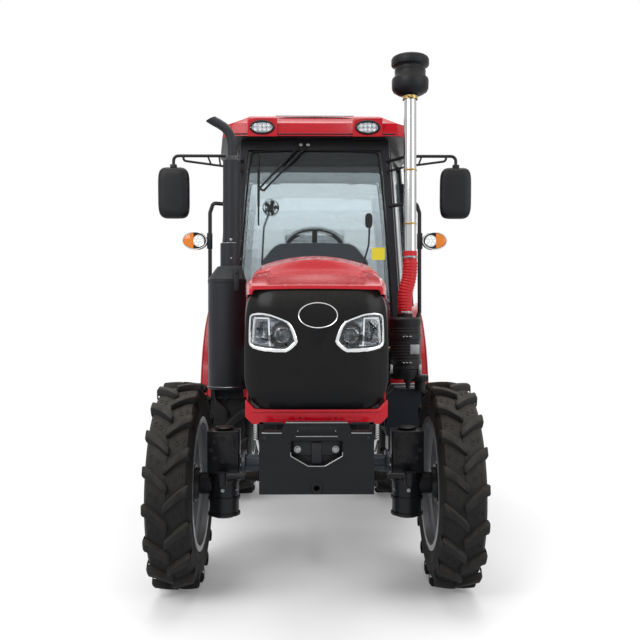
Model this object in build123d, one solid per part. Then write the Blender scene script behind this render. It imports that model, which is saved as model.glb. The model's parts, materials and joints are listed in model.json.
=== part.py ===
from build123d import *
import os
from math import asin, cos, degrees, hypot, radians, sin, sqrt

# Farm tractor with a cab, four-wheel drive and narrow row-crop tyres.
# Millimetres. +Z is up, the nose points to -Y and the driver's left is +X.
# The origin is on the ground, under the middle of the tractor.

# Running gaps and small shared values
SEAT_GAP = 0.3          # between faces of pieces that move on each other
PANEL_GAP = 6.0         # round a door or the tilting hood
BAR = 24.0              # diameter of handrails and mirror arms

# Wheels
WHEELBASE = 2100.0
FRONT_TYRE_R = 497.5
FRONT_TYRE_W = 210.0
FRONT_TREAD_W = 196.0
FRONT_RIM_R = 305.0
FRONT_TRACK = 1310.0
REAR_TYRE_R = 697.5
REAR_TYRE_W = 300.0
REAR_TREAD_W = 276.0
REAR_RIM_R = 406.0
REAR_TRACK = 1190.0
RIM_WALL = 8.0
RIM_FLANGE = 20.0
BEAD_SHARE = 0.85       # distance between a rim's flanges, as a share of the tyre's width
LUG_HEIGHT = 27.0
LUG_W = 36.0            # along the tread, where a lug starts
LUG_FLARE = 1.22        # its outer end is this much wider
LUG_SWEEP = 8.9         # degrees round the tyre, from the middle to the shoulder
LUG_PAST = 8.0          # it starts this far past the middle
LUG_OVER = 4.0          # and ends this far over the shoulder
LUG_SKIRT = 48.0        # where it reaches this far down the side
TREAD_CROWN = 10.0      # the tread's middle stands this much higher than its shoulders
FRONT_LUGS = 18         # on each half of the tread
REAR_LUGS = 20
FRONT_DISC_IN = 50.0    # wheel disc, inboard of the tyre's middle
REAR_DISC_IN = 80.0
DISC_WALL = 12.0

# Length, from the ballast plate's face to the ends of the lower links
NOSE_REACH = 850.0
LINK_PIVOT_BACK = 150.0
LINK_LENGTH = 650.0
LINK_BALL_R = 32.0
TAIL_REACH = LINK_PIVOT_BACK + LINK_LENGTH + LINK_BALL_R
FRONT_Y = NOSE_REACH - (NOSE_REACH + WHEELBASE + TAIL_REACH) / 2
REAR_Y = FRONT_Y + WHEELBASE

# Front frame and ballast plate
RAIL_IN = 130.0
RAIL_WALL = 36.0
RAIL_LOW = 640.0
RAIL_HIGH = 830.0
RAIL_BACK = 60.0
PLATE_T = 46.0
PLATE_W = 444.0
PLATE_LOW = 627.0
PLATE_HIGH = 905.0
HATCH_W = 200.0         # six-sided opening in the plate
HATCH_LOW = 736.0
HATCH_HIGH = 834.0
TOW_BORE_R = 12.0
TOW_BORE_Z = 652.0

# Front axle, knuckles and steering
BEAM_Z = 595.0
BEAM_R = 42.0
PIVOT_Z = 690.0         # the pin that the axle hangs on, along the tractor
PIVOT_R = 28.0
KINGPIN_X = 450.0
CASE_R = 72.0
CASE_TOP = 540.0
CASE_LOW = 345.0
DROP_BOX_LOW = 556.0
DROP_BOX_HIGH = 760.0
DROP_BOX_W = 150.0
DROP_TUBE_R = 48.0
HUB_R = 52.0
HUB_FLANGE_R = 92.0
HUB_FLANGE_T = 16.0
ARM_REACH = 132.0
ARM_T = 24.0
ARM_EYE_R = 28.0
STEER_ROD_R = 15.0
STEER_BARREL_R = 31.0
STEER_BARREL_HALF = 262.0
STEER_EYE_T = 34.0

# Engine, radiator, transmission and rear axle
ENGINE_HALF_W = 118.0
ENGINE_LOW = 560.0
ENGINE_HIGH = 1240.0
ENGINE_FRONT = -360.0   # from the front axle, as all the Y offsets below
ENGINE_BACK = 330.0
SUMP_FRONT = -190.0      # the engine's underside is raised over the axle
SUMP_BACK = 100.0
SUMP_RISE = 180.0
RADIATOR_FRONT = -540.0
RADIATOR_T = 110.0
RADIATOR_HALF_W = 225.0
RADIATOR_HIGH = 1330.0
GEARBOX_HALF_W = 170.0
GEARBOX_LOW = 470.0
GEARBOX_HIGH = 850.0
AXLE_TUBE_R = 82.0
REAR_HUB_R = 105.0
REAR_HUB_IN = 180.0     # hub's inner face, inboard of the tyre's middle
PTO_R = 17.5
PTO_LENGTH = 78.0
PTO_Z = 640.0

# Hood and nose
HOOD_HALF_W = 293.0
HOOD_WALL = 14.0
HOOD_BACK = 1020.0
HOOD_BACK_HIGH = 1690.0
HOOD_BACK_LOW = 1230.0
HOOD_CROWN = 32.0       # the top's rise above its shoulders
HOOD_SHOULDER = 42.0
NOSE_FRONT = -760.0
NOSE_BACK = -560.0
NOSE_FRONT_HIGH = 1424.0
NOSE_BULGE_HIGH = 1440.0
NOSE_BACK_HIGH = 1502.0
NOSE_LOW = 950.0
NOSE_FACE_HALF_W = 248.0
NOSE_HALF_W = 285.0
NOSE_BULGE = 46.0
NOSE_CUT = 42.0         # its lower corners are cut off
NOSE_SEAM = 1404.0      # above this height the nose is part of the red hood
VENT_FRONT = -430.0     # vent with louvres in each side
VENT_BACK = -60.0
VENT_SLANT = 120.0
VENT_LOW = 1112.0
VENT_HIGH = 1375.0
LOUVRES = 7
LOUVRE_T = 5.0
LOUVRE_RISE = 14.0
HOOD_HINGE_DROP = 60.0
HOOD_HINGE_IN = 24.0
HOOD_HINGE_R = 11.0
HOOD_EAR_X = 120.0
HOOD_EAR_W = 40.0
FIREWALL_Y = 960.0
FIREWALL_T = 24.0
FIREWALL_HALF_W = 262.0
FIREWALL_HIGH = 1590.0
BUMPER_LOW = 886.0
BUMPER_HIGH = 944.0
BUMPER_HALF_W = 284.0
BUMPER_T = 60.0
BUMPER_CUT = 28.0
LAMP_DEPTH = 70.0

# Exhaust on the right side
MUFFLER_X = -489.0
MUFFLER_Y = 500.0
MUFFLER_R = 104.0
MUFFLER_LOW = 919.0
MUFFLER_HIGH = 1528.0
BAND_H = 24.0           # clamp band round the can's top
BAND_OUT = 3.0
CONE_HIGH = 1600.0
SLEEVE_IN = 17.0        # the sleeve stands this far inboard of the can's middle
SLEEVE_R = 55.0
SLEEVE_HIGH = 1726.0
SHIELD_IN = 9.0         # and the shield pipe this far inboard of the sleeve's
SHIELD_R = 49.5
SHIELD_HIGH = 2182.0
CAP_RISE = 27.0
TIP_R = 26.0
TIP_HIGH = 2438.0
TIP_REACH = 142.0       # the bent end, out from the pipe's middle

# Air intake on the left side
INTAKE_X = 552.0
INTAKE_Y = 690.0
INTAKE_PIPE_R = 36.5
INTAKE_LOW = 1672.0
INTAKE_HIGH = 2580.0
FILTER_X = 522.0
FILTER_R = 93.0
FILTER_LOW = 960.0
FILTER_HIGH = 1316.0
DUCT_R = 30.0
HOSE_R = 42.0
BOWL_R = 110.0
BOWL_NECK_R = 90.0
BOWL_H = 270.0

# Fuel tank and steps
TANK_IN = 416.0
TANK_OUT = 642.0
TANK_FRONT = 700.0
TANK_BACK = 1110.0
TANK_LOW = 626.0
TANK_HIGH = 900.0
STEP_OUT = 690.0
STEP_IN = 470.0
STEP_GAP = 8.0          # between the steps and the rear fender
STEP_LENGTH = 190.0
STEP_T = 24.0
STEP_HEIGHTS = (480.0, 730.0)

# Cab
CAB_FRONT = 1080.0
CAB_PILLAR = 1700.0
CAB_BACK = 2330.0
CAB_LOW = 1000.0
CAB_HIGH = 2440.0
CAB_FRONT_HALF_W = 560.0
CAB_FLARE = 0.25        # the sides open towards the back
CAB_TAPER = 0.10        # and close again behind the middle pillar
CAB_LEAN = 0.073        # and lean in towards the roof
CAB_RAKE = 0.035        # the windshield leans back
FRAME_W = 46.0
FRAME_T = 40.0
DOOR_T = 30.0
DOOR_PROUD = 4.0        # the door stands this far out of the frame
HINGE_OUT = 14.0
HINGE_R = 9.0
HINGE_H = 70.0
HINGE_LEAF = 34.0
HINGE_SHARES = (0.12, 0.8)
GLASS_T = 6.0
GLASS_DEPTH = 20.0      # fixed glass, under the frame's outer face
SILL_H = 250.0
HEADER_H = 60.0
QUARTER_DROP = 20.0     # the side behind the pillar starts this far under the fender's top
SILL_OVER = 6.0         # the cab's sides reach this far under the fender's face
FLOOR_T = 36.0
FLOOR_GAP = 14.0        # between the wide floor and the fenders

# Rear fenders
FENDER_IN = 405.0
FENDER_OUT = 755.0
FENDER_GAP = 24.0
FENDER_T = 22.0

# Roof
ROOF_FRONT = 1000.0
ROOF_BACK = 2390.0
ROOF_T = 150.0
ROOF_HALF_W = 665.0
ROOF_FRONT_HALF_W = 580.0

# Mirrors, lamps and rails
MIRROR_X = 865.0
MIRROR_W = 190.0
MIRROR_T = 56.0
MIRROR_LOW = 1923.0
MIRROR_HIGH = 2236.0
MIRROR_Y = 950.0
ARM_Z = 2305.0
WORK_LAMP_X = 326.0
WORK_LAMP_Z = 2490.0
WORK_LAMP_W = 152.0
WORK_LAMP_H = 88.0
WORK_LAMP_T = 50.0
RAIL_X = 650.0
RAIL_Y = 1010.0
RAIL_TOP = 2025.0
RAIL_FOOT = 1290.0
INDICATOR_X = 742.0
INDICATOR_Z = 1790.0
INDICATOR_W = 156.0
INDICATOR_H = 114.0
INDICATOR_T = 48.0
TAIL_LAMP_ANGLE = 31.0  # place on the fender, degrees above level

# Inside the cab
SEAT_Y = 1880.0
SEAT_W = 460.0
SEAT_Z = 1470.0
DASH_BACK = 1400.0
DASH_HIGH = 1790.0
DASH_HALF_W = 230.0
WHEEL_RIM_R = 190.0

# Rear linkage
LINK_Z = 430.0
LIFT_PIVOT_Z = 870.0
LIFT_REACH = 300.0
LINK_X = 260.0
LIFT_X = 210.0
LINK_T = 26.0
LINK_H = 56.0
LINK_PIN_R = 14.0
LINK_BORE_R = 14.35
BALL_W = 45.0
LIFT_ROD_R = 10.0
LIFT_EYE_R = 24.0
LIFT_PIN_R = 11.0
TOP_LINK_BORE_R = 12.85
TOP_LINK_Z = 740.0
TOP_LINK_R = 15.0
TOP_LINK_LENGTH = 420.0
TOP_LINK_LEAN = 25.0    # stowed leaning back, degrees from upright
DRAWBAR_BORE_R = 16.0
DRAWBAR_T = 34.0
DRAWBAR_W = 80.0
DRAWBAR_Z = 400.0

made = {}


def front(offset):
    """Y of a point that lies this far behind the front axle."""
    return FRONT_Y + offset


def block(x0, x1, y0, y1, z0, z1):
    """A box between two corners."""
    centre = ((x0 + x1) / 2, (y0 + y1) / 2, (z0 + z1) / 2)
    return Pos(*centre) * Box(abs(x1 - x0), abs(y1 - y0), abs(z1 - z0))


def bar(start, end, radius):
    """A round bar from one point to another."""
    run = Vector(*end) - Vector(*start)
    return extrude(Plane(origin=start, z_dir=run) * Circle(radius), run.length)


def bent(points, radius, bend):
    """A round bar along a line of straight runs joined by arcs."""
    path = FilletPolyline(*points, radius=bend)
    first = Vector(*points[1]) - Vector(*points[0])
    return sweep(Plane(origin=points[0], z_dir=first) * Circle(radius), path=path)


def turned(profile, centre):
    """A solid of revolution about a line along X; the profile is (across, radius)."""
    face = make_face(Polyline(*[(x, r) for x, r in profile], close=True))
    return Pos(*centre) * revolve(face, Axis.X, 360)


def upright(profile, x, y):
    """A solid of revolution about a vertical line; the profile is (radius, z)."""
    face = make_face(Polyline(*[(r, 0, z) for r, z in profile], close=True))
    return Pos(x, y, 0) * revolve(face, Axis.Z, 360)


def prism_x(points, x0, x1):
    """A side-view outline of (y, z) points, extruded across the tractor."""
    face = make_face(Polyline(*[(x0, y, z) for y, z in points], close=True))
    return extrude(face, x1 - x0, dir=(1, 0, 0))


def prism_y(points, y0, y1):
    """A front-view outline of (x, z) points, extruded along the tractor."""
    face = make_face(Polyline(*[(x, y0, z) for x, z in points], close=True))
    return extrude(face, y1 - y0, dir=(0, 1, 0))


def prism_z(points, z0, z1):
    """A plan-view outline of (x, y) points, extruded upwards."""
    face = make_face(Polyline(*[(x, y, z0) for x, y in points], close=True))
    return extrude(face, z1 - z0, dir=(0, 0, 1))


def other_side(shape):
    """The same piece on the tractor's other side."""
    return mirror(shape, Plane.YZ)


def both(shape):
    """A piece and its twin on the other side, as two solids."""
    return [shape, other_side(shape)]


def keep(name, *shapes):
    """Collect the solids of one named piece."""
    solids = []
    for shape in shapes:
        solids.extend(shape.solids())
    made[name] = solids


class Wall:
    """A flat side of the cab, from the corners of its outer face."""

    def __init__(self, corners, inside):
        points = [Vector(*c) for c in corners]
        along = (points[1] - points[0]).normalized()
        normal = along.cross(points[-1] - points[0]).normalized()
        if normal.dot(Vector(*inside) - points[0]) > 0:
            normal = normal * -1
        self.plane = Plane(origin=points[0], x_dir=along, z_dir=normal)
        self.corners = [tuple(self.plane.to_local_coords(p))[:2] for p in points]

    def inset(self, *widths):
        """The outline moved inwards, by one width for each side."""
        count = len(self.corners)
        area = sum(
            a[0] * b[1] - b[0] * a[1]
            for a, b in zip(self.corners, self.corners[1:] + self.corners[:1])
        )
        turn = 1 if area > 0 else -1
        lines = []
        for i in range(count):
            (x0, y0), (x1, y1) = self.corners[i], self.corners[(i + 1) % count]
            size = hypot(x1 - x0, y1 - y0)
            nx, ny = -(y1 - y0) / size * turn, (x1 - x0) / size * turn
            width = widths[i % len(widths)]
            lines.append((nx, ny, nx * x0 + ny * y0 + width))
        outline = []
        for i in range(count):
            a0, b0, c0 = lines[i - 1]
            a1, b1, c1 = lines[i]
            det = a0 * b1 - a1 * b0
            outline.append(((c0 * b1 - c1 * b0) / det, (a0 * c1 - a1 * c0) / det))
        return outline

    def slab(self, outline, depth, thickness):
        """An outline made solid, from this deep under the outer face inwards."""
        face = self.plane * make_face(Polyline(*outline, close=True))
        placed = Pos(*(self.plane.z_dir * -depth)) * face
        return extrude(placed, thickness, dir=self.plane.z_dir * -1)

    def ring(self, *widths):
        """A frame round the wall, with one width for each side."""
        hole = self.slab(self.inset(*widths), -1, FRAME_T + 2)
        return self.slab(self.inset(0), 0, FRAME_T) - hole

    def at(self, u, v, out):
        """The point at a local place, this far outside the outer face."""
        return self.plane.from_local_coords((u, v, out))


def side_x(y, z):
    """Half the cab's width at a place on its side, measured at the outer face."""
    widest = CAB_FRONT_HALF_W + CAB_FLARE * (CAB_PILLAR - CAB_FRONT)
    back = y - front(CAB_PILLAR)
    flat = widest + (CAB_FLARE * back if back < 0 else -CAB_TAPER * back)
    return flat - CAB_LEAN * (z - CAB_LOW)


def front_y(z):
    """Y of the windshield's outer face at a height."""
    return front(CAB_FRONT) + CAB_RAKE * (z - CAB_LOW)


FENDER_R = REAR_TYRE_R + FENDER_GAP + FENDER_T
FENDER_TOP = REAR_TYRE_R + FENDER_R


def fender_z(y):
    """Height of the rear fender's outer face at a place along the tractor."""
    return REAR_TYRE_R + sqrt(FENDER_R ** 2 - (y - REAR_Y) ** 2)


def fender_front(z):
    """Y of the rear fender's front edge at a height."""
    return REAR_Y - sqrt(FENDER_R ** 2 - (z - REAR_TYRE_R) ** 2)


def both_halves(half_profile):
    """A profile of (across, radius) points, closed with its own mirror image."""
    return half_profile + [(-x, r) for x, r in reversed(half_profile)]


def tyre(radius, width, tread, seat):
    """A tyre's section, closed inside where the rim fills it."""
    half, flat, bead = width / 2, tread / 2, width / 2 * BEAD_SHARE
    return both_halves([
        (bead, seat), (bead, seat + RIM_FLANGE), (half - 6, seat + RIM_FLANGE + 26),
        (half, seat + (radius - seat) * 0.5), (flat, radius - LUG_HEIGHT - TREAD_CROWN),
        (flat * 0.4, radius - LUG_HEIGHT),
    ])


def lugs(radius, tread, count):
    """The bars of a tyre's tread: slanting from the middle out and over the shoulder."""
    flat, half, sweep = tread / 2, LUG_W / 2, radius * radians(LUG_SWEEP)
    line = [
        (-LUG_PAST, -sweep, half), (flat / 2, -sweep * 0.39, half * (1 + LUG_FLARE) / 2),
        (flat + LUG_OVER, 0, half * LUG_FLARE),
    ]
    low, high = -sweep - half, half * LUG_FLARE
    middle, reach = (low + high) / 2, (high - low) / 2
    root, top = radius - LUG_HEIGHT - TREAD_CROWN - LUG_SKIRT, sqrt(radius ** 2 - reach ** 2)
    start = 180 + degrees(asin(reach / radius))
    bars = []
    for way in (1, -1):
        outline = [(way * x, s - w - middle) for x, s, w in line]
        outline += [(way * x, s + w - middle) for x, s, w in reversed(line)]
        bar_shape = prism_z(outline, root, top)
        shift = start if way > 0 else start + 180 / count
        bars += [Rot(shift + 360 * i / count, 0, 0) * bar_shape for i in range(count)]
    return bars


def rim(radius, width, disc_in, hub_r, sign):
    """A wheel with its barrel, flanges and dished disc, about the X axis."""
    bead = width / 2 * BEAD_SHARE
    low = radius * 0.86
    wall = RIM_WALL
    side = -sign
    disc = side * disc_in
    profile = both_halves([
        (bead * 0.5, low), (bead * 0.66, radius), (bead, radius), (bead, radius + RIM_FLANGE),
        (bead + wall, radius + RIM_FLANGE), (bead + wall, radius - wall),
        (bead * 0.72, radius - wall), (bead * 0.55, low - wall),
    ])
    barrel = turned(profile, (0, 0, 0))
    dish = [
        (disc, hub_r * 0.45), (disc, hub_r * 1.25),
        (disc * 0.42, low * 0.62), (disc * 0.3, low - wall * 0.5),
        (disc * 0.3 - side * DISC_WALL, low - wall * 0.5),
        (disc * 0.42 - side * DISC_WALL, low * 0.6),
        (disc - side * DISC_WALL, hub_r * 1.2), (disc - side * DISC_WALL, hub_r * 0.45),
    ]
    return barrel + turned(dish, (0, 0, 0))


def make_wheels():
    """Four tyres and rims, and the front wheels' hubs on the knuckles."""
    sizes = {
        "front": (FRONT_TYRE_R, FRONT_TYRE_W, FRONT_TREAD_W, FRONT_RIM_R, FRONT_TRACK,
                  FRONT_DISC_IN, HUB_FLANGE_R, FRONT_Y, FRONT_LUGS),
        "rear": (REAR_TYRE_R, REAR_TYRE_W, REAR_TREAD_W, REAR_RIM_R, REAR_TRACK,
                 REAR_DISC_IN, REAR_HUB_R, REAR_Y, REAR_LUGS),
    }
    for axle, (radius, width, tread, seat, track, disc_in, hub_r, y, count) in sizes.items():
        place = Pos(track / 2, y, radius)
        wheel = rim(seat, width, disc_in, hub_r, 1)
        if axle == "rear":
            wheel += bar((-disc_in, 0, 0), (-REAR_HUB_IN, 0, 0), hub_r)
        body = turned(tyre(radius, width, tread, seat), (0, 0, 0)) + lugs(radius, tread, count)
        for name, shape in (("rim", place * wheel), ("tyre", place * body)):
            keep(f"{axle}_{name}_left", shape)
            keep(f"{axle}_{name}_right", other_side(shape))


def make_frame():
    """Front rails, with the axle's pivot hangers, and the ballast plate."""
    plate_back = front(-NOSE_REACH + PLATE_T)
    rail_back = front(RAIL_BACK)
    rail = block(RAIL_IN, RAIL_IN + RAIL_WALL, plate_back, rail_back, RAIL_LOW, RAIL_HIGH)
    nose_bar = block(-RAIL_IN, RAIL_IN, plate_back, plate_back + 50, RAIL_LOW, RAIL_HIGH)
    hanger = block(-RAIL_IN, RAIL_IN, front(-110), front(-60), RAIL_LOW, PIVOT_Z + 46)
    hanger -= bar((0, front(-111), PIVOT_Z), (0, front(-59), PIVOT_Z), PIVOT_R + SEAT_GAP)
    pad = block(ENGINE_HALF_W, RAIL_IN, front(ENGINE_FRONT + 30), rail_back, ENGINE_LOW + SUMP_RISE + 4, RAIL_HIGH)
    keep("front_frame", nose_bar + hanger + rail + other_side(rail) + pad + other_side(pad))

    half = PLATE_W / 2
    notch_w, notch_d = 86.0, 34.0
    outline = [
        (-half, PLATE_LOW), (half, PLATE_LOW), (half, PLATE_HIGH - notch_d),
        (half - notch_w, PLATE_HIGH - notch_d), (half - notch_w - 14, PLATE_HIGH),
        (-half + notch_w + 14, PLATE_HIGH), (-half + notch_w, PLATE_HIGH - notch_d),
        (-half, PLATE_HIGH - notch_d),
    ]
    wide, step = HATCH_W / 2, 34.0
    hatch_mid = HATCH_LOW + (HATCH_HIGH - HATCH_LOW) * 0.4
    hatch = [
        (-wide + 2 * step, HATCH_LOW), (wide - 2 * step, HATCH_LOW), (wide, hatch_mid),
        (wide, HATCH_HIGH), (-wide, HATCH_HIGH), (-wide, hatch_mid),
    ]
    plate = prism_y(outline, front(-NOSE_REACH), plate_back)
    plate = plate - prism_y(hatch, front(-NOSE_REACH) - 1, plate_back + 1)
    tow = bar((0, front(-NOSE_REACH) - 1, TOW_BORE_Z), (0, plate_back + 1, TOW_BORE_Z), TOW_BORE_R)
    keep("ballast_plate", plate - tow)


def make_front_axle():
    """The axle beam with its drop boxes, the two knuckles and the steering cylinder."""
    mid_r = BEAM_R * 1.6
    box_half = DROP_BOX_W / 2
    beam = bar((-KINGPIN_X, FRONT_Y, BEAM_Z), (KINGPIN_X, FRONT_Y, BEAM_Z), BEAM_R)
    bulge = bar((-95, FRONT_Y, BEAM_Z - 20), (95, FRONT_Y, BEAM_Z - 20), mid_r)
    pivot = block(-RAIL_IN + 4, RAIL_IN - 4, front(-55), front(55), BEAM_Z, RAIL_LOW + 90)
    rod_y = front(-ARM_REACH)
    rod_z = CASE_TOP + SEAT_GAP + STEER_EYE_T / 2
    pin = bar((0, front(-116), PIVOT_Z), (0, FRONT_Y, PIVOT_Z), PIVOT_R)
    beam = beam + bulge + pivot + pin
    for sign in (1, -1):
        x = sign * KINGPIN_X
        beam += block(x - box_half, x + box_half, front(-68), front(68), DROP_BOX_LOW, DROP_BOX_HIGH)
        beam += bar((x, FRONT_Y, CASE_TOP + SEAT_GAP), (x, FRONT_Y, BEAM_Z), DROP_TUBE_R)
        hold = sign * 190
        beam += block(hold - 22, hold + 22, rod_y + STEER_BARREL_R, FRONT_Y, rod_z - 20, rod_z + 30)
    keep("front_axle", beam)

    barrel = bar((-STEER_BARREL_HALF, rod_y, rod_z), (STEER_BARREL_HALF, rod_y, rod_z), STEER_BARREL_R)
    bore = bar((-STEER_BARREL_HALF - 1, rod_y, rod_z), (STEER_BARREL_HALF + 1, rod_y, rod_z), STEER_ROD_R + SEAT_GAP)
    keep("steering_cylinder", barrel - bore)

    rod = bar((-KINGPIN_X, rod_y, rod_z), (KINGPIN_X, rod_y, rod_z), STEER_ROD_R)
    for x in (-KINGPIN_X, KINGPIN_X):
        low, high = rod_z - STEER_EYE_T / 2, rod_z + STEER_EYE_T / 2
        rod += bar((x, rod_y, low), (x, rod_y, high), ARM_EYE_R)
    keep("steering_rod", rod)

    face_x = FRONT_TRACK / 2 - FRONT_DISC_IN - SEAT_GAP
    case = bar((KINGPIN_X, FRONT_Y, CASE_LOW), (KINGPIN_X, FRONT_Y, CASE_TOP), CASE_R)
    hub = bar((KINGPIN_X + DROP_TUBE_R + 8, FRONT_Y, FRONT_TYRE_R), (face_x, FRONT_Y, FRONT_TYRE_R), HUB_R)
    flange = bar((face_x - HUB_FLANGE_T, FRONT_Y, FRONT_TYRE_R), (face_x, FRONT_Y, FRONT_TYRE_R), HUB_FLANGE_R)
    arm = block(KINGPIN_X - 24, KINGPIN_X + 24, rod_y, FRONT_Y, CASE_TOP - ARM_T, CASE_TOP)
    eye = bar((KINGPIN_X, rod_y, CASE_TOP - ARM_T), (KINGPIN_X, rod_y, CASE_TOP), ARM_EYE_R)
    knuckle = case + hub + flange + arm + eye
    keep("knuckle_left", knuckle)
    keep("knuckle_right", other_side(knuckle))


def make_drive():
    """The engine as a plain block, the radiator, the gearbox and the rear axle."""
    engine = block(-ENGINE_HALF_W, ENGINE_HALF_W, front(ENGINE_FRONT), front(ENGINE_BACK), ENGINE_LOW, ENGINE_HIGH)
    sump = block(-ENGINE_HALF_W - 1, ENGINE_HALF_W + 1, front(SUMP_FRONT), front(SUMP_BACK), ENGINE_LOW - 1, ENGINE_LOW + SUMP_RISE)
    keep("engine_block", engine - sump)
    keep("radiator", block(-RADIATOR_HALF_W, RADIATOR_HALF_W, front(RADIATOR_FRONT),
                           front(RADIATOR_FRONT + RADIATOR_T), RAIL_HIGH, RADIATOR_HIGH))

    box_back = REAR_Y + LINK_PIVOT_BACK - 40
    case = block(-GEARBOX_HALF_W, GEARBOX_HALF_W, front(ENGINE_BACK), box_back, GEARBOX_LOW, GEARBOX_HIGH)
    reach = REAR_TRACK / 2 - REAR_HUB_IN - SEAT_GAP
    tube = bar((-reach, REAR_Y, REAR_TYRE_R), (reach, REAR_Y, REAR_TYRE_R), AXLE_TUBE_R)
    lift = block(-130, 130, REAR_Y - 120, box_back, GEARBOX_HIGH, LIFT_PIVOT_Z + 50)
    stub = bar((0, box_back, PTO_Z), (0, box_back + PTO_LENGTH, PTO_Z), PTO_R)
    pivot_y = REAR_Y + LINK_PIVOT_BACK
    transaxle = case + tube + lift + stub
    for x in (-1, 1):
        inner, outer = x * (GEARBOX_HALF_W - 20), x * (LINK_X - LINK_T / 2 - SEAT_GAP)
        transaxle += block(inner, outer, box_back - 60, pivot_y + 26, GEARBOX_LOW - 70, GEARBOX_LOW + 40)
        pin_end = x * (LINK_X + LINK_T / 2)
        transaxle += bar((inner, pivot_y, LINK_Z), (pin_end, pivot_y, LINK_Z), LINK_PIN_R)
    shaft_reach = LIFT_X + LINK_T / 2
    transaxle += block(-130, 130, box_back, pivot_y + LINK_PIN_R + 4, LIFT_PIVOT_Z - 40, LIFT_PIVOT_Z + 40)
    transaxle += bar((-shaft_reach, pivot_y, LIFT_PIVOT_Z), (shaft_reach, pivot_y, LIFT_PIVOT_Z), LINK_PIN_R)
    keep("transaxle", transaxle)

    bar_end = REAR_Y + LINK_PIVOT_BACK + 300
    drawbar = block(-DRAWBAR_W / 2, DRAWBAR_W / 2, REAR_Y - 200, bar_end, DRAWBAR_Z - DRAWBAR_T / 2, DRAWBAR_Z + DRAWBAR_T / 2)
    hanger = block(-70, 70, REAR_Y - 60, REAR_Y + 60, DRAWBAR_Z, GEARBOX_LOW)
    pin_y = bar_end - 50
    hole = bar((0, pin_y, DRAWBAR_Z - DRAWBAR_T), (0, pin_y, DRAWBAR_Z + DRAWBAR_T), DRAWBAR_BORE_R)
    keep("drawbar", drawbar + hanger - hole)


def arch(y, half_width, low, side, crown, corner, cut=0.0):
    """A section across the hood: straight sides, round shoulders and a crowned top."""
    top = side + corner
    mid = corner * (1 - cos(radians(45)))
    rise = corner * sin(radians(45))
    left, right = -half_width, half_width
    foot = [(right, y, low), (left, y, low)]
    if cut:
        foot = [(right, y, low + cut), (right - cut, y, low), (left + cut, y, low), (left, y, low + cut)]
    return make_face([
        Line(foot[-1], (left, y, side)),
        ThreePointArc((left, y, side), (left + mid, y, side + rise), (left + corner, y, top)),
        ThreePointArc((left + corner, y, top), (0, y, crown), (right - corner, y, top)),
        ThreePointArc((right - corner, y, top), (right - mid, y, side + rise), (right, y, side)),
        Line((right, y, side), foot[0]),
        *[Line(a, b) for a, b in zip(foot, foot[1:])],
    ])


def lamp_outline():
    """Front view of the left headlamp, as (x, z) points on the driver's left."""
    return [
        (78, 1300), (90, 1322), (118, 1333), (262, 1334), (274, 1318),
        (276, 1204), (262, 1184), (205, 1170), (122, 1168), (92, 1186), (76, 1226),
    ]


def louvres(x0, x1):
    """The cooling vent in the hood's left side, and the blades that cross it."""
    y0, y1 = front(VENT_FRONT), front(VENT_BACK)
    outline = [(y0, VENT_LOW), (y1, VENT_LOW), (y1 + VENT_SLANT, VENT_HIGH), (y0 + VENT_SLANT * 0.6, VENT_HIGH)]
    vent = prism_x(outline, x0 - 1, x1 + 1)
    held = [(y0 - 3, VENT_LOW), (y1 + 3, VENT_LOW), (y1 + VENT_SLANT + 3, VENT_HIGH), (y0 + VENT_SLANT * 0.6 - 3, VENT_HIGH)]
    bay = prism_x(held, x0, x1)
    blades = []
    for i in range(LOUVRES):
        z = VENT_LOW + (VENT_HIGH - VENT_LOW) * (i + 0.5) / LOUVRES
        low, high = z - LOUVRE_RISE / 2, z + LOUVRE_RISE / 2
        slant = [(x1 - 0.5, low), (x1 - 0.5, low + LOUVRE_T), (x0 + 0.5, high + LOUVRE_T), (x0 + 0.5, high)]
        blades.append(prism_y(slant, y0 - 3, y1 + VENT_SLANT + 3) & bay)
    return vent, blades


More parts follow.
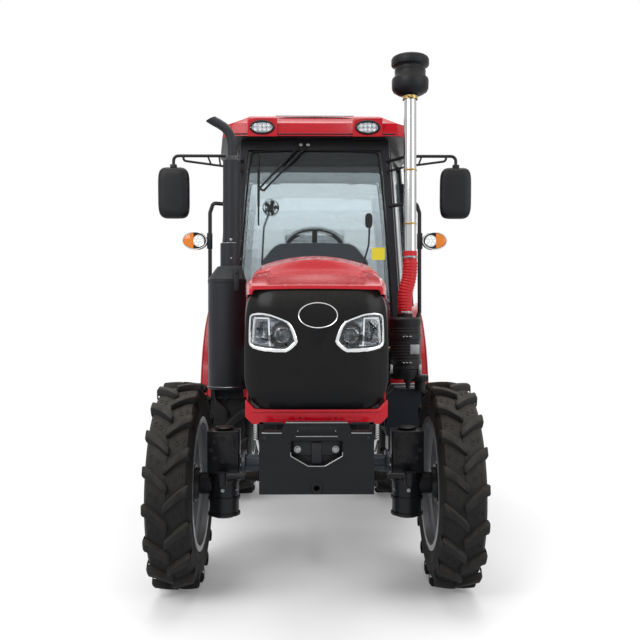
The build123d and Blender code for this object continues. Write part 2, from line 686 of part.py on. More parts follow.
def make_hood():
    """The tilting hood: red top, black nose and headlamps; and the fixed bumper."""
    wall = HOOD_WALL

    def section(y, half_width, low, high, inset, cut=0.0):
        """The hood's section at one place, or its hollow's when set in by the wall."""
        side = high - HOOD_CROWN - HOOD_SHOULDER
        if inset:
            return arch(y, half_width - inset, low - 60, side, high - inset, HOOD_SHOULDER - inset)
        return arch(y, half_width, low, side, high, HOOD_SHOULDER, cut)

    def hood_loft(inset):
        return loft([
            section(front(NOSE_BACK) - inset / wall, HOOD_HALF_W, NOSE_LOW, NOSE_BACK_HIGH, inset),
            section(front(HOOD_BACK) + inset / wall, HOOD_HALF_W, HOOD_BACK_LOW, HOOD_BACK_HIGH, inset),
        ], ruled=True)

    def nose_loft(inset):
        return loft([
            section(front(NOSE_FRONT) + inset, NOSE_FACE_HALF_W, NOSE_LOW + 26, NOSE_FRONT_HIGH, inset, NOSE_CUT),
            section(front(NOSE_FRONT + NOSE_BULGE) + inset / 2, NOSE_HALF_W, NOSE_LOW + 4, NOSE_BULGE_HIGH, inset, NOSE_CUT),
            section(front(NOSE_BACK) + inset / wall, HOOD_HALF_W, NOSE_LOW, NOSE_BACK_HIGH, inset, NOSE_CUT),
        ], ruled=True)

    shell = nose_loft(0)
    nose = shell - nose_loft(wall)
    over = block(-HOOD_HALF_W - 1, HOOD_HALF_W + 1, front(NOSE_FRONT) - 1, front(NOSE_BACK) + 1, NOSE_SEAM, NOSE_BACK_HIGH + 1)
    hood = hood_loft(0) - hood_loft(wall) + (nose & over)
    vent, blades = louvres(HOOD_HALF_W - wall, HOOD_HALF_W)
    hood = hood - vent - other_side(vent)
    for blade in blades:
        hood += blade + other_side(blade)
    hinge_y, hinge_z = front(HOOD_BACK - HOOD_HINGE_IN), HOOD_BACK_HIGH - HOOD_HINGE_DROP
    ear_top = HOOD_BACK_HIGH - wall - HOOD_CROWN / 4
    boss_r = HOOD_HINGE_R * 1.7
    for x in (-HOOD_EAR_X, HOOD_EAR_X):
        x0, x1 = x - HOOD_EAR_W / 2, x + HOOD_EAR_W / 2
        hood += block(x0, x1, hinge_y - boss_r, hinge_y + boss_r, hinge_z, ear_top)
        hood += bar((x0, hinge_y, hinge_z), (x1, hinge_y, hinge_z), boss_r)
        hood -= bar((x0 - 1, hinge_y, hinge_z), (x1 + 1, hinge_y, hinge_z), HOOD_HINGE_R + SEAT_GAP)
    keep("hood_top", hood)

    cutter = prism_y(lamp_outline(), front(NOSE_FRONT) - 1, front(NOSE_FRONT + LAMP_DEPTH))
    keep("nose_panel", nose - over - cutter - other_side(cutter))
    keep("headlamps", *both(cutter & shell))

    wall_y = front(FIREWALL_Y)
    firewall = block(-FIREWALL_HALF_W, FIREWALL_HALF_W, wall_y, wall_y + FIREWALL_T, GEARBOX_HIGH, FIREWALL_HIGH)
    ear_in = HOOD_EAR_X - HOOD_EAR_W / 2 - SEAT_GAP
    for sign in (-1, 1):
        far, near = sign * ear_in, sign * (ear_in - HOOD_EAR_W)
        firewall += block(near, far, wall_y, hinge_y + 10, FIREWALL_HIGH - 60, hinge_z + 12)
        pin_end = sign * (HOOD_EAR_X + HOOD_EAR_W / 2)
        firewall += bar((near, hinge_y, hinge_z), (pin_end, hinge_y, hinge_z), HOOD_HINGE_R)
    keep("firewall", firewall)

    half, corner = BUMPER_HALF_W, BUMPER_LOW + BUMPER_CUT
    horn = NOSE_LOW + NOSE_CUT - (NOSE_HALF_W - half) - PANEL_GAP * sqrt(2)
    rise = horn - BUMPER_HIGH
    outline = [
        (-half + BUMPER_CUT, BUMPER_LOW), (half - BUMPER_CUT, BUMPER_LOW), (half, corner), (half, horn),
        (half - rise, BUMPER_HIGH), (-half + rise, BUMPER_HIGH), (-half, horn), (-half, corner),
    ]
    bumper_y = front(NOSE_FRONT + 8)
    bumper = prism_y(outline, bumper_y, bumper_y + BUMPER_T)
    rail_out = RAIL_IN + RAIL_WALL
    seat = block(-rail_out, rail_out, bumper_y + 12, bumper_y + BUMPER_T - 8, RAIL_HIGH, BUMPER_LOW)
    keep("nose_bumper", bumper + seat)


def make_exhaust():
    """The upright muffler with its cone, shield pipe and bent tip."""
    x, y = MUFFLER_X, front(MUFFLER_Y)
    sleeve_x, shield_x = x + SLEEVE_IN, x + SLEEVE_IN + SHIELD_IN
    can = bar((x, y, MUFFLER_LOW), (x, y, MUFFLER_HIGH), MUFFLER_R)
    can += bar((x, y, MUFFLER_HIGH - BAND_H), (x, y, MUFFLER_HIGH), MUFFLER_R + BAND_OUT)
    can += loft([Pos(x, y, MUFFLER_HIGH) * Circle(MUFFLER_R), Pos(sleeve_x, y, CONE_HIGH) * Circle(SLEEVE_R)])
    can += bar((sleeve_x, y, CONE_HIGH), (sleeve_x, y, SLEEVE_HIGH), SLEEVE_R)
    can += bar((shield_x, y, SLEEVE_HIGH - 10), (shield_x, y, SHIELD_HIGH), SHIELD_R)
    can += loft([Pos(shield_x, y, SHIELD_HIGH) * Circle(SHIELD_R), Pos(shield_x, y, SHIELD_HIGH + CAP_RISE) * Circle(TIP_R + 4)])
    end_x, end_z = shield_x - TIP_REACH, TIP_HIGH - TIP_R * 0.92
    tip = bent([(shield_x, y, SHIELD_HIGH), (shield_x, y, end_z - 98), (shield_x - 42, y, end_z - 41), (end_x, y, end_z)], TIP_R, 60)
    arm_low, arm_high = MUFFLER_LOW + 20, MUFFLER_LOW + 60
    arm = block(x, -ENGINE_HALF_W, y - 25, y + 25, arm_low, arm_high)
    foot = block(-ENGINE_HALF_W - 40, -ENGINE_HALF_W, front(ENGINE_BACK - 120), y + 25, arm_low, arm_high)
    keep("muffler", can + tip + arm + foot)


def make_intake():
    """The air filter, its ribbed hose, the tall pipe and the pre-cleaner bowl."""
    y = front(INTAKE_Y)
    body = upright([
        (0, FILTER_LOW), (FILTER_R * 0.9, FILTER_LOW), (FILTER_R, FILTER_LOW + 40),
        (FILTER_R, FILTER_HIGH - 24), (FILTER_R * 0.86, FILTER_HIGH), (0, FILTER_HIGH)], FILTER_X, y)
    duct_z, duct_x, engine_y = FILTER_LOW + 160, FILTER_X / 2 - 30, front(ENGINE_BACK - 60)
    duct = bent([(FILTER_X, y, duct_z), (duct_x, y, duct_z), (duct_x, engine_y, duct_z),
                 (ENGINE_HALF_W, engine_y, duct_z)], DUCT_R, 60)
    shelf = block(GEARBOX_HALF_W - 40, FILTER_X, y - 20, y + 20, FILTER_LOW + 40, FILTER_LOW + 60)
    leg = block(GEARBOX_HALF_W - 40, GEARBOX_HALF_W, y - 20, y + 20, GEARBOX_HIGH, FILTER_LOW + 60)
    keep("air_filter", body + duct + shelf + leg)
    keep("intake_pipe", bar((INTAKE_X, y, INTAKE_LOW), (INTAKE_X, y, INTAKE_HIGH), INTAKE_PIPE_R))
    keep("intake_hose", bent([(FILTER_X, y, FILTER_HIGH), (FILTER_X, y, FILTER_HIGH + 120),
                              (INTAKE_X, y, INTAKE_LOW - 120), (INTAKE_X, y, INTAKE_LOW)], HOSE_R, 150))
    low, high = INTAKE_HIGH, INTAKE_HIGH + BOWL_H
    keep("precleaner", upright([
        (0, low), (INTAKE_PIPE_R + 6, low), (INTAKE_PIPE_R + 6, low + BOWL_H * 0.09),
        (BOWL_R * 0.88, low + BOWL_H * 0.13), (BOWL_R, low + BOWL_H * 0.22), (BOWL_R, low + BOWL_H * 0.44),
        (BOWL_NECK_R, low + BOWL_H * 0.48), (BOWL_NECK_R, low + BOWL_H * 0.69),
        (BOWL_R, low + BOWL_H * 0.72), (BOWL_R, low + BOWL_H * 0.89), (BOWL_R * 0.8, high), (0, high)], INTAKE_X, y))


def make_tank_and_steps():
    """The fuel tank on the driver's left and the steps behind it."""
    outline = [
        (TANK_IN, TANK_LOW), (TANK_OUT - 30, TANK_LOW), (TANK_OUT, TANK_LOW + 40), (TANK_OUT, TANK_HIGH),
        (TANK_IN + 60, TANK_HIGH), (TANK_IN, TANK_HIGH - 64),
    ]
    tank = prism_y(outline, front(TANK_FRONT), front(TANK_BACK))
    shelf = block(GEARBOX_HALF_W, TANK_IN, front(TANK_FRONT + 120), front(TANK_FRONT + 180), TANK_LOW + 40, TANK_LOW + 100)
    keep("fuel_tank", tank + shelf)
    y1 = REAR_Y - FENDER_R - STEP_GAP
    y0 = y1 - STEP_LENGTH
    side = block(STEP_IN, STEP_IN + 14, y0, y1, STEP_HEIGHTS[0] - STEP_T, CAB_LOW - FLOOR_T)
    far = block(STEP_OUT - 80, STEP_OUT - 66, y0, y0 + 60, STEP_HEIGHTS[0] - STEP_T, CAB_LOW - FLOOR_T)
    ladder = side + far
    for height in STEP_HEIGHTS:
        ladder += block(STEP_IN, STEP_OUT - 20, y0, y1, height - STEP_T, height)
    keep("steps", ladder)


def door_wall(sign):
    """The cab's side from the front to the middle pillar, over the fender's curve."""
    corner, pillar = fender_front(CAB_LOW) + SILL_OVER, front(CAB_PILLAR)
    bend = corner + (pillar - corner) * 0.44
    outline = [
        (front(CAB_FRONT), CAB_LOW), (corner, CAB_LOW), (bend, fender_z(bend) - SILL_OVER),
        (pillar, fender_z(pillar) - SILL_OVER), (pillar, CAB_HIGH), (front_y(CAB_HIGH), CAB_HIGH),
    ]
    corners = [(sign * side_x(y, z), y, z) for y, z in outline]
    return Wall(corners, (0, front(CAB_PILLAR), CAB_HIGH))


def quarter_wall(sign):
    """The cab's side behind the middle pillar, standing on the fender."""
    y0, y1, low = front(CAB_PILLAR), front(CAB_BACK), FENDER_TOP - QUARTER_DROP
    level_y = REAR_Y - sqrt(FENDER_R ** 2 - (low - REAR_TYRE_R) ** 2) - SILL_OVER
    outline = [(y0, fender_z(y0) - SILL_OVER), (level_y, low), (y1, low), (y1, CAB_HIGH), (y0, CAB_HIGH)]
    corners = [(sign * side_x(y, z), y, z) for y, z in outline]
    return Wall(corners, (0, y0, CAB_HIGH))


def front_wall():
    """The cab's front, with the windshield."""
    low, high = side_x(front(CAB_FRONT), CAB_LOW), side_x(front_y(CAB_HIGH), CAB_HIGH)
    y0, y1 = front_y(CAB_LOW), front_y(CAB_HIGH)
    return Wall([(-low, y0, CAB_LOW), (low, y0, CAB_LOW), (high, y1, CAB_HIGH), (-high, y1, CAB_HIGH)], (0, front(CAB_BACK), CAB_HIGH))


def back_wall():
    """The cab's back, above the fenders."""
    y, z = front(CAB_BACK), FENDER_TOP - QUARTER_DROP
    low, high = side_x(y, z), side_x(y, CAB_HIGH)
    corners = [(low, y, z), (-low, y, z), (-high, y, CAB_HIGH), (high, y, CAB_HIGH)]
    return Wall(corners, (0, front(CAB_FRONT), CAB_HIGH))


def hinge_line(wall):
    """The two ends of a door's hinge line, just outside the gap at its back edge."""
    line = wall.inset(FRAME_W + PANEL_GAP / 2)
    return wall.at(*line[3], HINGE_OUT), wall.at(*line[4], HINGE_OUT)


def fender_round(extra):
    """The space under a fender's outer face, across the whole tractor."""
    return bar((-FENDER_OUT - 50, REAR_Y, REAR_TYRE_R), (FENDER_OUT + 50, REAR_Y, REAR_TYRE_R), FENDER_R + extra)


def hinge_half(wall, share, leaf, drop):
    """Half of a door hinge: its barrel on the hinge line and the leaf that holds it."""
    low, high = hinge_line(wall)
    along = (high - low).normalized()
    foot = low + (high - low) * share - along * drop
    top = foot + along * HINGE_H
    near, far = (wall.plane.to_local_coords(point) for point in (foot, top))
    tab = [(near.X, near.Y), (near.X + leaf, near.Y), (far.X + leaf, far.Y), (far.X, far.Y)]
    return bar(tuple(foot), tuple(top), HINGE_R) + wall.slab(tab, -HINGE_OUT, HINGE_OUT)


def make_cab():
    """Cab frame, floor, glass and the two doors with their glass."""
    screen, rear, door_side, quarter = front_wall(), back_wall(), door_wall(1), quarter_wall(1)
    screen_widths = (SILL_H, FRAME_W, HEADER_H, FRAME_W)
    rear_widths = (FRAME_W, FRAME_W, HEADER_H, FRAME_W)
    side = door_side.ring(FRAME_W) + quarter.ring(FRAME_W)
    for share in HINGE_SHARES:
        side += hinge_half(door_side, share, HINGE_LEAF, HINGE_H + SEAT_GAP)
    pillar_y, beam_x = front(CAB_PILLAR), side_x(front(CAB_PILLAR), CAB_HIGH) - FRAME_T / 2
    beam = block(-beam_x, beam_x, pillar_y - 30, pillar_y + 30, CAB_HIGH - HEADER_H, CAB_HIGH)
    under = block(-FENDER_OUT, FENDER_OUT, front(CAB_FRONT) - 200, front(CAB_BACK) + 1, CAB_LOW - HEADER_H, CAB_LOW)
    frame = screen.ring(*screen_widths) + rear.ring(*rear_widths) + side + other_side(side) + beam
    keep("cab_frame", frame - fender_round(SEAT_GAP) - under)
    keep(
        "cab_glass",
        screen.slab(screen.inset(*screen_widths), GLASS_DEPTH, GLASS_T),
        rear.slab(rear.inset(*rear_widths), GLASS_DEPTH, GLASS_T),
        *both(quarter.slab(quarter.inset(FRAME_W), GLASS_DEPTH, GLASS_T)),
    )

    y0, y1, y2 = front(CAB_FRONT), fender_front(CAB_LOW - FLOOR_T) - FLOOR_GAP, front(CAB_BACK)
    plan = [
        (side_x(y0, CAB_LOW), y0), (side_x(y1, CAB_LOW), y1), (FENDER_IN, y1), (FENDER_IN, y2),
        (-FENDER_IN, y2), (-FENDER_IN, y1), (-side_x(y1, CAB_LOW), y1), (-side_x(y0, CAB_LOW), y0),
    ]
    floor = prism_z(plan, CAB_LOW - FLOOR_T, CAB_LOW)
    back = block(-FENDER_IN, FENDER_IN, y2 - FLOOR_T, y2, CAB_LOW, FENDER_TOP - 20)
    posts = block(-GEARBOX_HALF_W + 20, GEARBOX_HALF_W - 20, y0 + 60, y1 - 60, GEARBOX_HIGH, CAB_LOW - FLOOR_T)
    keep("cab_floor", floor + back + posts)

    opening = door_side.inset(FRAME_W + PANEL_GAP)
    light = door_side.inset(FRAME_W + PANEL_GAP + FRAME_W)
    door = door_side.slab(opening, -DOOR_PROUD, DOOR_T) - door_side.slab(light, -DOOR_PROUD - 1, DOOR_T + 2)
    for share in HINGE_SHARES:
        door += hinge_half(door_side, share, -HINGE_LEAF, 0)
    pane = door_side.slab(light, DOOR_T / 2 - DOOR_PROUD, GLASS_T)
    keep("door_left", door)
    keep("door_right", other_side(door))
    keep("door_glass_left", pane)
    keep("door_glass_right", other_side(pane))


def make_fenders():
    """Rear fenders: a curved top over each tyre with an inner wall."""
    inner_r = FENDER_R - FENDER_T
    top = bar((FENDER_IN, REAR_Y, REAR_TYRE_R), (FENDER_OUT, REAR_Y, REAR_TYRE_R), FENDER_R)
    space = bar((FENDER_IN - 1, REAR_Y, REAR_TYRE_R), (FENDER_OUT + 1, REAR_Y, REAR_TYRE_R), inner_r)
    low_cut = block(FENDER_IN - 1, FENDER_OUT + 1, REAR_Y - FENDER_R - 1, REAR_Y + FENDER_R + 1, -FENDER_R, REAR_TYRE_R + 90)
    wall = bar((FENDER_IN, REAR_Y, REAR_TYRE_R), (FENDER_IN + 18, REAR_Y, REAR_TYRE_R), FENDER_R)
    wall_cut = block(FENDER_IN - 1, FENDER_IN + 20, REAR_Y - FENDER_R - 1, REAR_Y + FENDER_R + 1, -FENDER_R, CAB_LOW - FLOOR_T)
    fender = (top - space - low_cut) + (wall - wall_cut)
    keep("fenders", *both(fender))


def make_roof():
    """The roof with its lamp housings and the low cap on top."""
    low, high = CAB_HIGH, CAB_HIGH + ROOF_T
    y0, y1, y2 = front(ROOF_FRONT), front(CAB_PILLAR), front(ROOF_BACK)

    def plan(shrink):
        a, b = ROOF_FRONT_HALF_W - shrink, ROOF_HALF_W - shrink
        f, r = y0 + shrink, y2 - shrink
        return [(-a + 60, f), (a - 60, f), (a, f + 60), (b, y1), (b - 40, r - 50), (b - 100, r),
                (-b + 100, r), (-b + 40, r - 50), (-b, y1), (-a, f + 60)]

    rim_face = make_face(Polyline(*[(x, y, low) for x, y in plan(0)], close=True))
    mid_face = make_face(Polyline(*[(x, y, low + ROOF_T * 0.55) for x, y in plan(12)], close=True))
    top_face = make_face(Polyline(*[(x, y, high) for x, y in plan(110)], close=True))
    roof = loft([rim_face, mid_face], ruled=True) + loft([mid_face, top_face], ruled=True)
    pods = []
    lamps = []
    for sign in (1, -1):
        x = sign * WORK_LAMP_X
        half = WORK_LAMP_W / 2 + 16
        pods.append(block(x - half, x + half, y0 - 14, y0 + 120, WORK_LAMP_Z - WORK_LAMP_H / 2 - 12, WORK_LAMP_Z + WORK_LAMP_H / 2 + 14))
        oval = Pos(x, 0, WORK_LAMP_Z) * (Plane.XZ * Ellipse(WORK_LAMP_W / 2, WORK_LAMP_H / 2))
        lamp = extrude(Pos(0, y0 - 22, 0) * oval, WORK_LAMP_T, dir=(0, 1, 0))
        lamps.append(lamp)
        tail = extrude(Pos(0, y2 - 30, 0) * oval, 62, dir=(0, 1, 0))
        lamps.append(tail)
    for pod in pods:
        roof += pod
    for lamp in lamps:
        roof -= lamp
    keep("roof", roof)
    keep("work_lamps", *lamps)
    keep("roof_cap", block(-250, 250, y0 + 180, y2 - 300, high, high + 22))


def make_mirrors_and_rails():
    """Mirrors on their arms, handrails and the indicator lamps."""
    y = front(MIRROR_Y)
    r = BAR / 2
    half = MIRROR_W / 2
    shell = block(MIRROR_X - half, MIRROR_X + half, y - MIRROR_T / 2, y + MIRROR_T / 2, MIRROR_LOW, MIRROR_HIGH)
    shell = fillet(shell.edges().filter_by(Axis.Y), 34)
    keep("mirrors", *both(shell))

    root_x = side_x(front(CAB_FRONT), ARM_Z) - 8
    root_y = front_y(ARM_Z)
    post = MIRROR_X
    arms = bent([(root_x, root_y, ARM_Z), (root_x + 110, y, ARM_Z), (post, y, ARM_Z), (post, y, MIRROR_HIGH)], r * 0.8, 30)
    arms += bent([(root_x, root_y, ARM_Z - 62), (root_x + 110, y, ARM_Z - 62), (post - 60, y, ARM_Z - 30), (post - 60, y, ARM_Z)], r * 0.6, 20)
    top_x = side_x(front(CAB_FRONT), RAIL_TOP)
    low_x = side_x(front(CAB_FRONT), RAIL_FOOT)
    yr = front(RAIL_Y)
    rail = bent([(top_x - 10, front_y(RAIL_TOP), RAIL_TOP), (RAIL_X - 20, yr, RAIL_TOP), (RAIL_X, yr, RAIL_TOP - 60),
                 (RAIL_X, yr, RAIL_FOOT + 60), (RAIL_X - 20, yr, RAIL_FOOT), (low_x - 10, front_y(RAIL_FOOT), RAIL_FOOT)], r, 24)
    lamp_arm = block(RAIL_X, INDICATOR_X - 20, yr - 8, yr + 8, INDICATOR_Z - 14, INDICATOR_Z + 14)
    frame = made["cab_frame"][0]
    keep("handrails", *both(arms - frame), *both(rail + lamp_arm - frame))

    oval = Pos(INDICATOR_X, yr - INDICATOR_T / 2, INDICATOR_Z) * (Plane.XZ * Ellipse(INDICATOR_W / 2, INDICATOR_H / 2))
    lamp = extrude(oval, INDICATOR_T, dir=(0, 1, 0)) - lamp_arm
    lean = radians(TAIL_LAMP_ANGLE)
    lamp_y, lamp_z = REAR_Y + FENDER_R * cos(lean), REAR_TYRE_R + FENDER_R * sin(lean)
    rear = block(FENDER_OUT - 120, FENDER_OUT - 20, lamp_y - 50, lamp_y + 34, lamp_z - 56, lamp_z + 56)
    rear -= bar((0, REAR_Y, REAR_TYRE_R), (FENDER_OUT + 1, REAR_Y, REAR_TYRE_R), FENDER_R)
    keep("indicator_lamps", *both(lamp), *both(rear))


def make_inside():
    """The seat, the dash with its column, and the steering wheel."""
    y = front(SEAT_Y)
    base = block(-150, 150, y - 170, y + 170, CAB_LOW, SEAT_Z - 110)
    cushion = block(-SEAT_W / 2, SEAT_W / 2, y - 240, y + 210, SEAT_Z - 110, SEAT_Z)
    backrest = block(-SEAT_W / 2, SEAT_W / 2, y + 160, y + 270, SEAT_Z, SEAT_Z + 480)
    keep("seat", base + cushion + backrest)
    y0, y1 = front(CAB_FRONT + 120), front(DASH_BACK)
    side = [(y0, CAB_LOW), (y1, CAB_LOW), (y1, DASH_HIGH - 120), (y1 - 60, DASH_HIGH), (y0, DASH_HIGH)]
    keep("dash", prism_x(side, -DASH_HALF_W, DASH_HALF_W))
    tilt = -28
    hub = (0, y1 + 80, DASH_HIGH + 20)
    column = bar((0, y1 - 60, DASH_HIGH - 180), hub, 26)
    rim_ring = Pos(*hub) * (Rot(tilt, 0, 0) * Torus(WHEEL_RIM_R, 14))
    spokes = Pos(*hub) * (Rot(tilt, 0, 0) * (Box(2 * WHEEL_RIM_R, 34, 14) + Box(34, 2 * WHEEL_RIM_R, 14)))
    shaft = column - prism_x(side, -DASH_HALF_W, DASH_HALF_W)
    keep("steering_wheel", rim_ring + spokes + shaft)


def make_linkage():
    """The lower links, lift arms, lift rods and top link at the back."""
    pivot_y = REAR_Y + LINK_PIVOT_BACK
    end_y = pivot_y + LINK_LENGTH
    rod_y = pivot_y + LIFT_REACH
    t = LINK_T / 2

    link = block(LINK_X - t, LINK_X + t, pivot_y, end_y, LINK_Z - LINK_H / 2, LINK_Z + LINK_H / 2)
    link += bar((LINK_X - t, pivot_y, LINK_Z), (LINK_X + t, pivot_y, LINK_Z), LINK_BALL_R)
    link += bar((LINK_X - BALL_W / 2, end_y, LINK_Z), (LINK_X + BALL_W / 2, end_y, LINK_Z), LINK_BALL_R)
    link -= bar((LINK_X - BALL_W, end_y, LINK_Z), (LINK_X + BALL_W, end_y, LINK_Z), LINK_BORE_R)
    link -= bar((LINK_X - BALL_W, pivot_y, LINK_Z), (LINK_X + BALL_W, pivot_y, LINK_Z), LINK_PIN_R + SEAT_GAP)
    eye_in, eye_out = LIFT_X + t + SEAT_GAP, LINK_X - t - SEAT_GAP
    link += bar((eye_in, rod_y, LINK_Z), (LINK_X, rod_y, LINK_Z), LIFT_PIN_R)
    keep("lower_links", *both(link))

    arm = block(LIFT_X - t, LIFT_X + t, pivot_y, rod_y, LIFT_PIVOT_Z - LINK_H / 2, LIFT_PIVOT_Z + LINK_H / 2)
    arm += bar((LIFT_X - t, pivot_y, LIFT_PIVOT_Z), (LIFT_X + t, pivot_y, LIFT_PIVOT_Z), LINK_BALL_R + 6)
    arm += bar((LIFT_X - t, rod_y, LIFT_PIVOT_Z), (LIFT_X + t, rod_y, LIFT_PIVOT_Z), LINK_H / 2)
    arm -= bar((LIFT_X - 2 * t, pivot_y, LIFT_PIVOT_Z), (LIFT_X + 2 * t, pivot_y, LIFT_PIVOT_Z), LINK_PIN_R + SEAT_GAP)
    arm += bar((LIFT_X, rod_y, LIFT_PIVOT_Z), (eye_out, rod_y, LIFT_PIVOT_Z), LIFT_PIN_R)
    keep("lift_arms", *both(arm))

    rod = bar(((eye_in + eye_out) / 2, rod_y, LINK_Z), ((eye_in + eye_out) / 2, rod_y, LIFT_PIVOT_Z), LIFT_ROD_R)
    for z in (LINK_Z, LIFT_PIVOT_Z):
        rod += bar((eye_in, rod_y, z), (eye_out, rod_y, z), LIFT_EYE_R)
    for z in (LINK_Z, LIFT_PIVOT_Z):
        rod -= bar((eye_in - 1, rod_y, z), (eye_out + 1, rod_y, z), LIFT_PIN_R + SEAT_GAP)
    keep("lift_rods", *both(rod))

    lean = radians(TOP_LINK_LEAN)
    low = (0, pivot_y, TOP_LINK_Z)
    high = (0, pivot_y + TOP_LINK_LENGTH * sin(lean), TOP_LINK_Z + TOP_LINK_LENGTH * cos(lean))
    top_link = bar(low, high, TOP_LINK_R)
    for x, y, z in (low, high):
        top_link += bar((-BALL_W / 2, y, z), (BALL_W / 2, y, z), LINK_BALL_R)
    top_link -= bar((-BALL_W, high[1], high[2]), (BALL_W, high[1], high[2]), TOP_LINK_BORE_R)
    lug = block(-BALL_W / 2, BALL_W / 2, REAR_Y + LINK_PIVOT_BACK - 40, pivot_y, TOP_LINK_Z - 20, TOP_LINK_Z + 20)
    keep("top_link", top_link + lug)


def write_parts():
    """One STEP file for each named piece."""
    os.makedirs("parts", exist_ok=True)
    for name, solids in made.items():
        shape = solids[0] if len(solids) == 1 else Compound(children=solids)
        export_step(shape, f"parts/{name}.step")


make_wheels()
make_frame()
make_front_axle()
make_drive()
make_hood()
make_exhaust()
make_intake()
make_tank_and_steps()
make_cab()
make_fenders()
make_roof()
make_mirrors_and_rails()
make_inside()
make_linkage()
write_parts()
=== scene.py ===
"""Farm tractor with a cab: fine pieces, finishes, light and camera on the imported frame.

The frame is loaded first and never moved. Every piece made here rides on one of
its bodies. Metres, +Z up, the nose towards -Y, the driver's left towards +X.
"""

import json
import logging
import math
from dataclasses import dataclass
from enum import Enum
from typing import Callable, Iterable, Sequence

import bmesh
import bpy
from mathutils import Euler, Matrix, Vector

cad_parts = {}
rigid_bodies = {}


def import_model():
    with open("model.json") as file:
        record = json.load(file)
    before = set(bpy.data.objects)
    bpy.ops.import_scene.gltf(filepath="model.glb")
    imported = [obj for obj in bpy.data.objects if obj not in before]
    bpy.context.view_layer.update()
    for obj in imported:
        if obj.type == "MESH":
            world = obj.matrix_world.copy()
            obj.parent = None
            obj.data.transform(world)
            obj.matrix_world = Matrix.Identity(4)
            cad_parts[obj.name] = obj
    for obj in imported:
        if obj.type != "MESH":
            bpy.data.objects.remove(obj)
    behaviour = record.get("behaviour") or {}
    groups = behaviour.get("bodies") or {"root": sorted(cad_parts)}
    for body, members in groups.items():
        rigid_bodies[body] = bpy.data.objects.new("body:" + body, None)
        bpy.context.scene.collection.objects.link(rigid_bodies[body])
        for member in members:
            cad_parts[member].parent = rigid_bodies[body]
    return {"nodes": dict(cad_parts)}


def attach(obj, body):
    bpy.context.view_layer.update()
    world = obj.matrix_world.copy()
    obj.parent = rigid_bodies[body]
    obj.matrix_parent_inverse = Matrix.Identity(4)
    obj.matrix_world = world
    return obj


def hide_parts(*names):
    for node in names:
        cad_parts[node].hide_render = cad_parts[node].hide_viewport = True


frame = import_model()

LOG = logging.getLogger("tractor")
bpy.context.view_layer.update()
Point = tuple[float, float, float]
Flat = tuple[float, float]

# Y of the front and the rear axle.
FRONT_Y = -1.041
REAR_Y = 1.059
FRONT_RADIUS, REAR_RADIUS = 0.4975, 0.6975
FENDER_RADIUS = 0.7435
# Half the windshield frame's width at a height of 1 m, and how far the sides lean in per metre above that.
CAB_HALF, CAB_LEAN = 0.560, 0.073
SIDES = {"left": 1, "right": -1}
HALF_TURN = Matrix.Rotation(math.pi, 4, "Z")
ACROSS = Matrix.Scale(-1, 4, (1, 0, 0))
DUST_COLOUR = "A79E90"
COAT_ROUGHNESS = 0.06


def from_front(offset: float) -> float:
    """Return Y of a place this far behind the front axle."""
    return FRONT_Y + offset


def linear(hex_colour: str) -> tuple[float, float, float, float]:
    """Turn an sRGB hex colour into linear RGBA.

    Args:
        hex_colour: six digits, such as "C8102E".

    Returns:
        The linear colour with an alpha of 1.
    """
    parts = [int(hex_colour[i:i + 2], 16) / 255 for i in (0, 2, 4)]
    values = [c / 12.92 if c <= 0.04045 else ((c + 0.055) / 1.055) ** 2.4 for c in parts]
    return (values[0], values[1], values[2], 1.0)


def add_node(tree: bpy.types.NodeTree, kind: str, inputs: dict | None = None, **settings) -> bpy.types.Node:
    """Add a node with its settings, values and links.

    Args:
        tree: the node tree that gets the node.
        kind: Blender's name of the node type.
        inputs: for each input, by name or number, a value or a socket to link.
        **settings: the node's own properties.

    Returns:
        The new node.
    """
    node = tree.nodes.new(kind)
    for name, value in settings.items():
        setattr(node, name, value)
    for key, value in (inputs or {}).items():
        if isinstance(value, bpy.types.NodeSocket):
            tree.links.new(value, node.inputs[key])
        else:
            node.inputs[key].default_value = value
    return node


def calculated(tree: bpy.types.NodeTree, operation: str,
               *values: bpy.types.NodeSocket | float) -> bpy.types.NodeSocket:
    """Return the result of a math node on two sockets or numbers."""
    return add_node(tree, "ShaderNodeMath", dict(enumerate(values)), operation=operation).outputs[0]


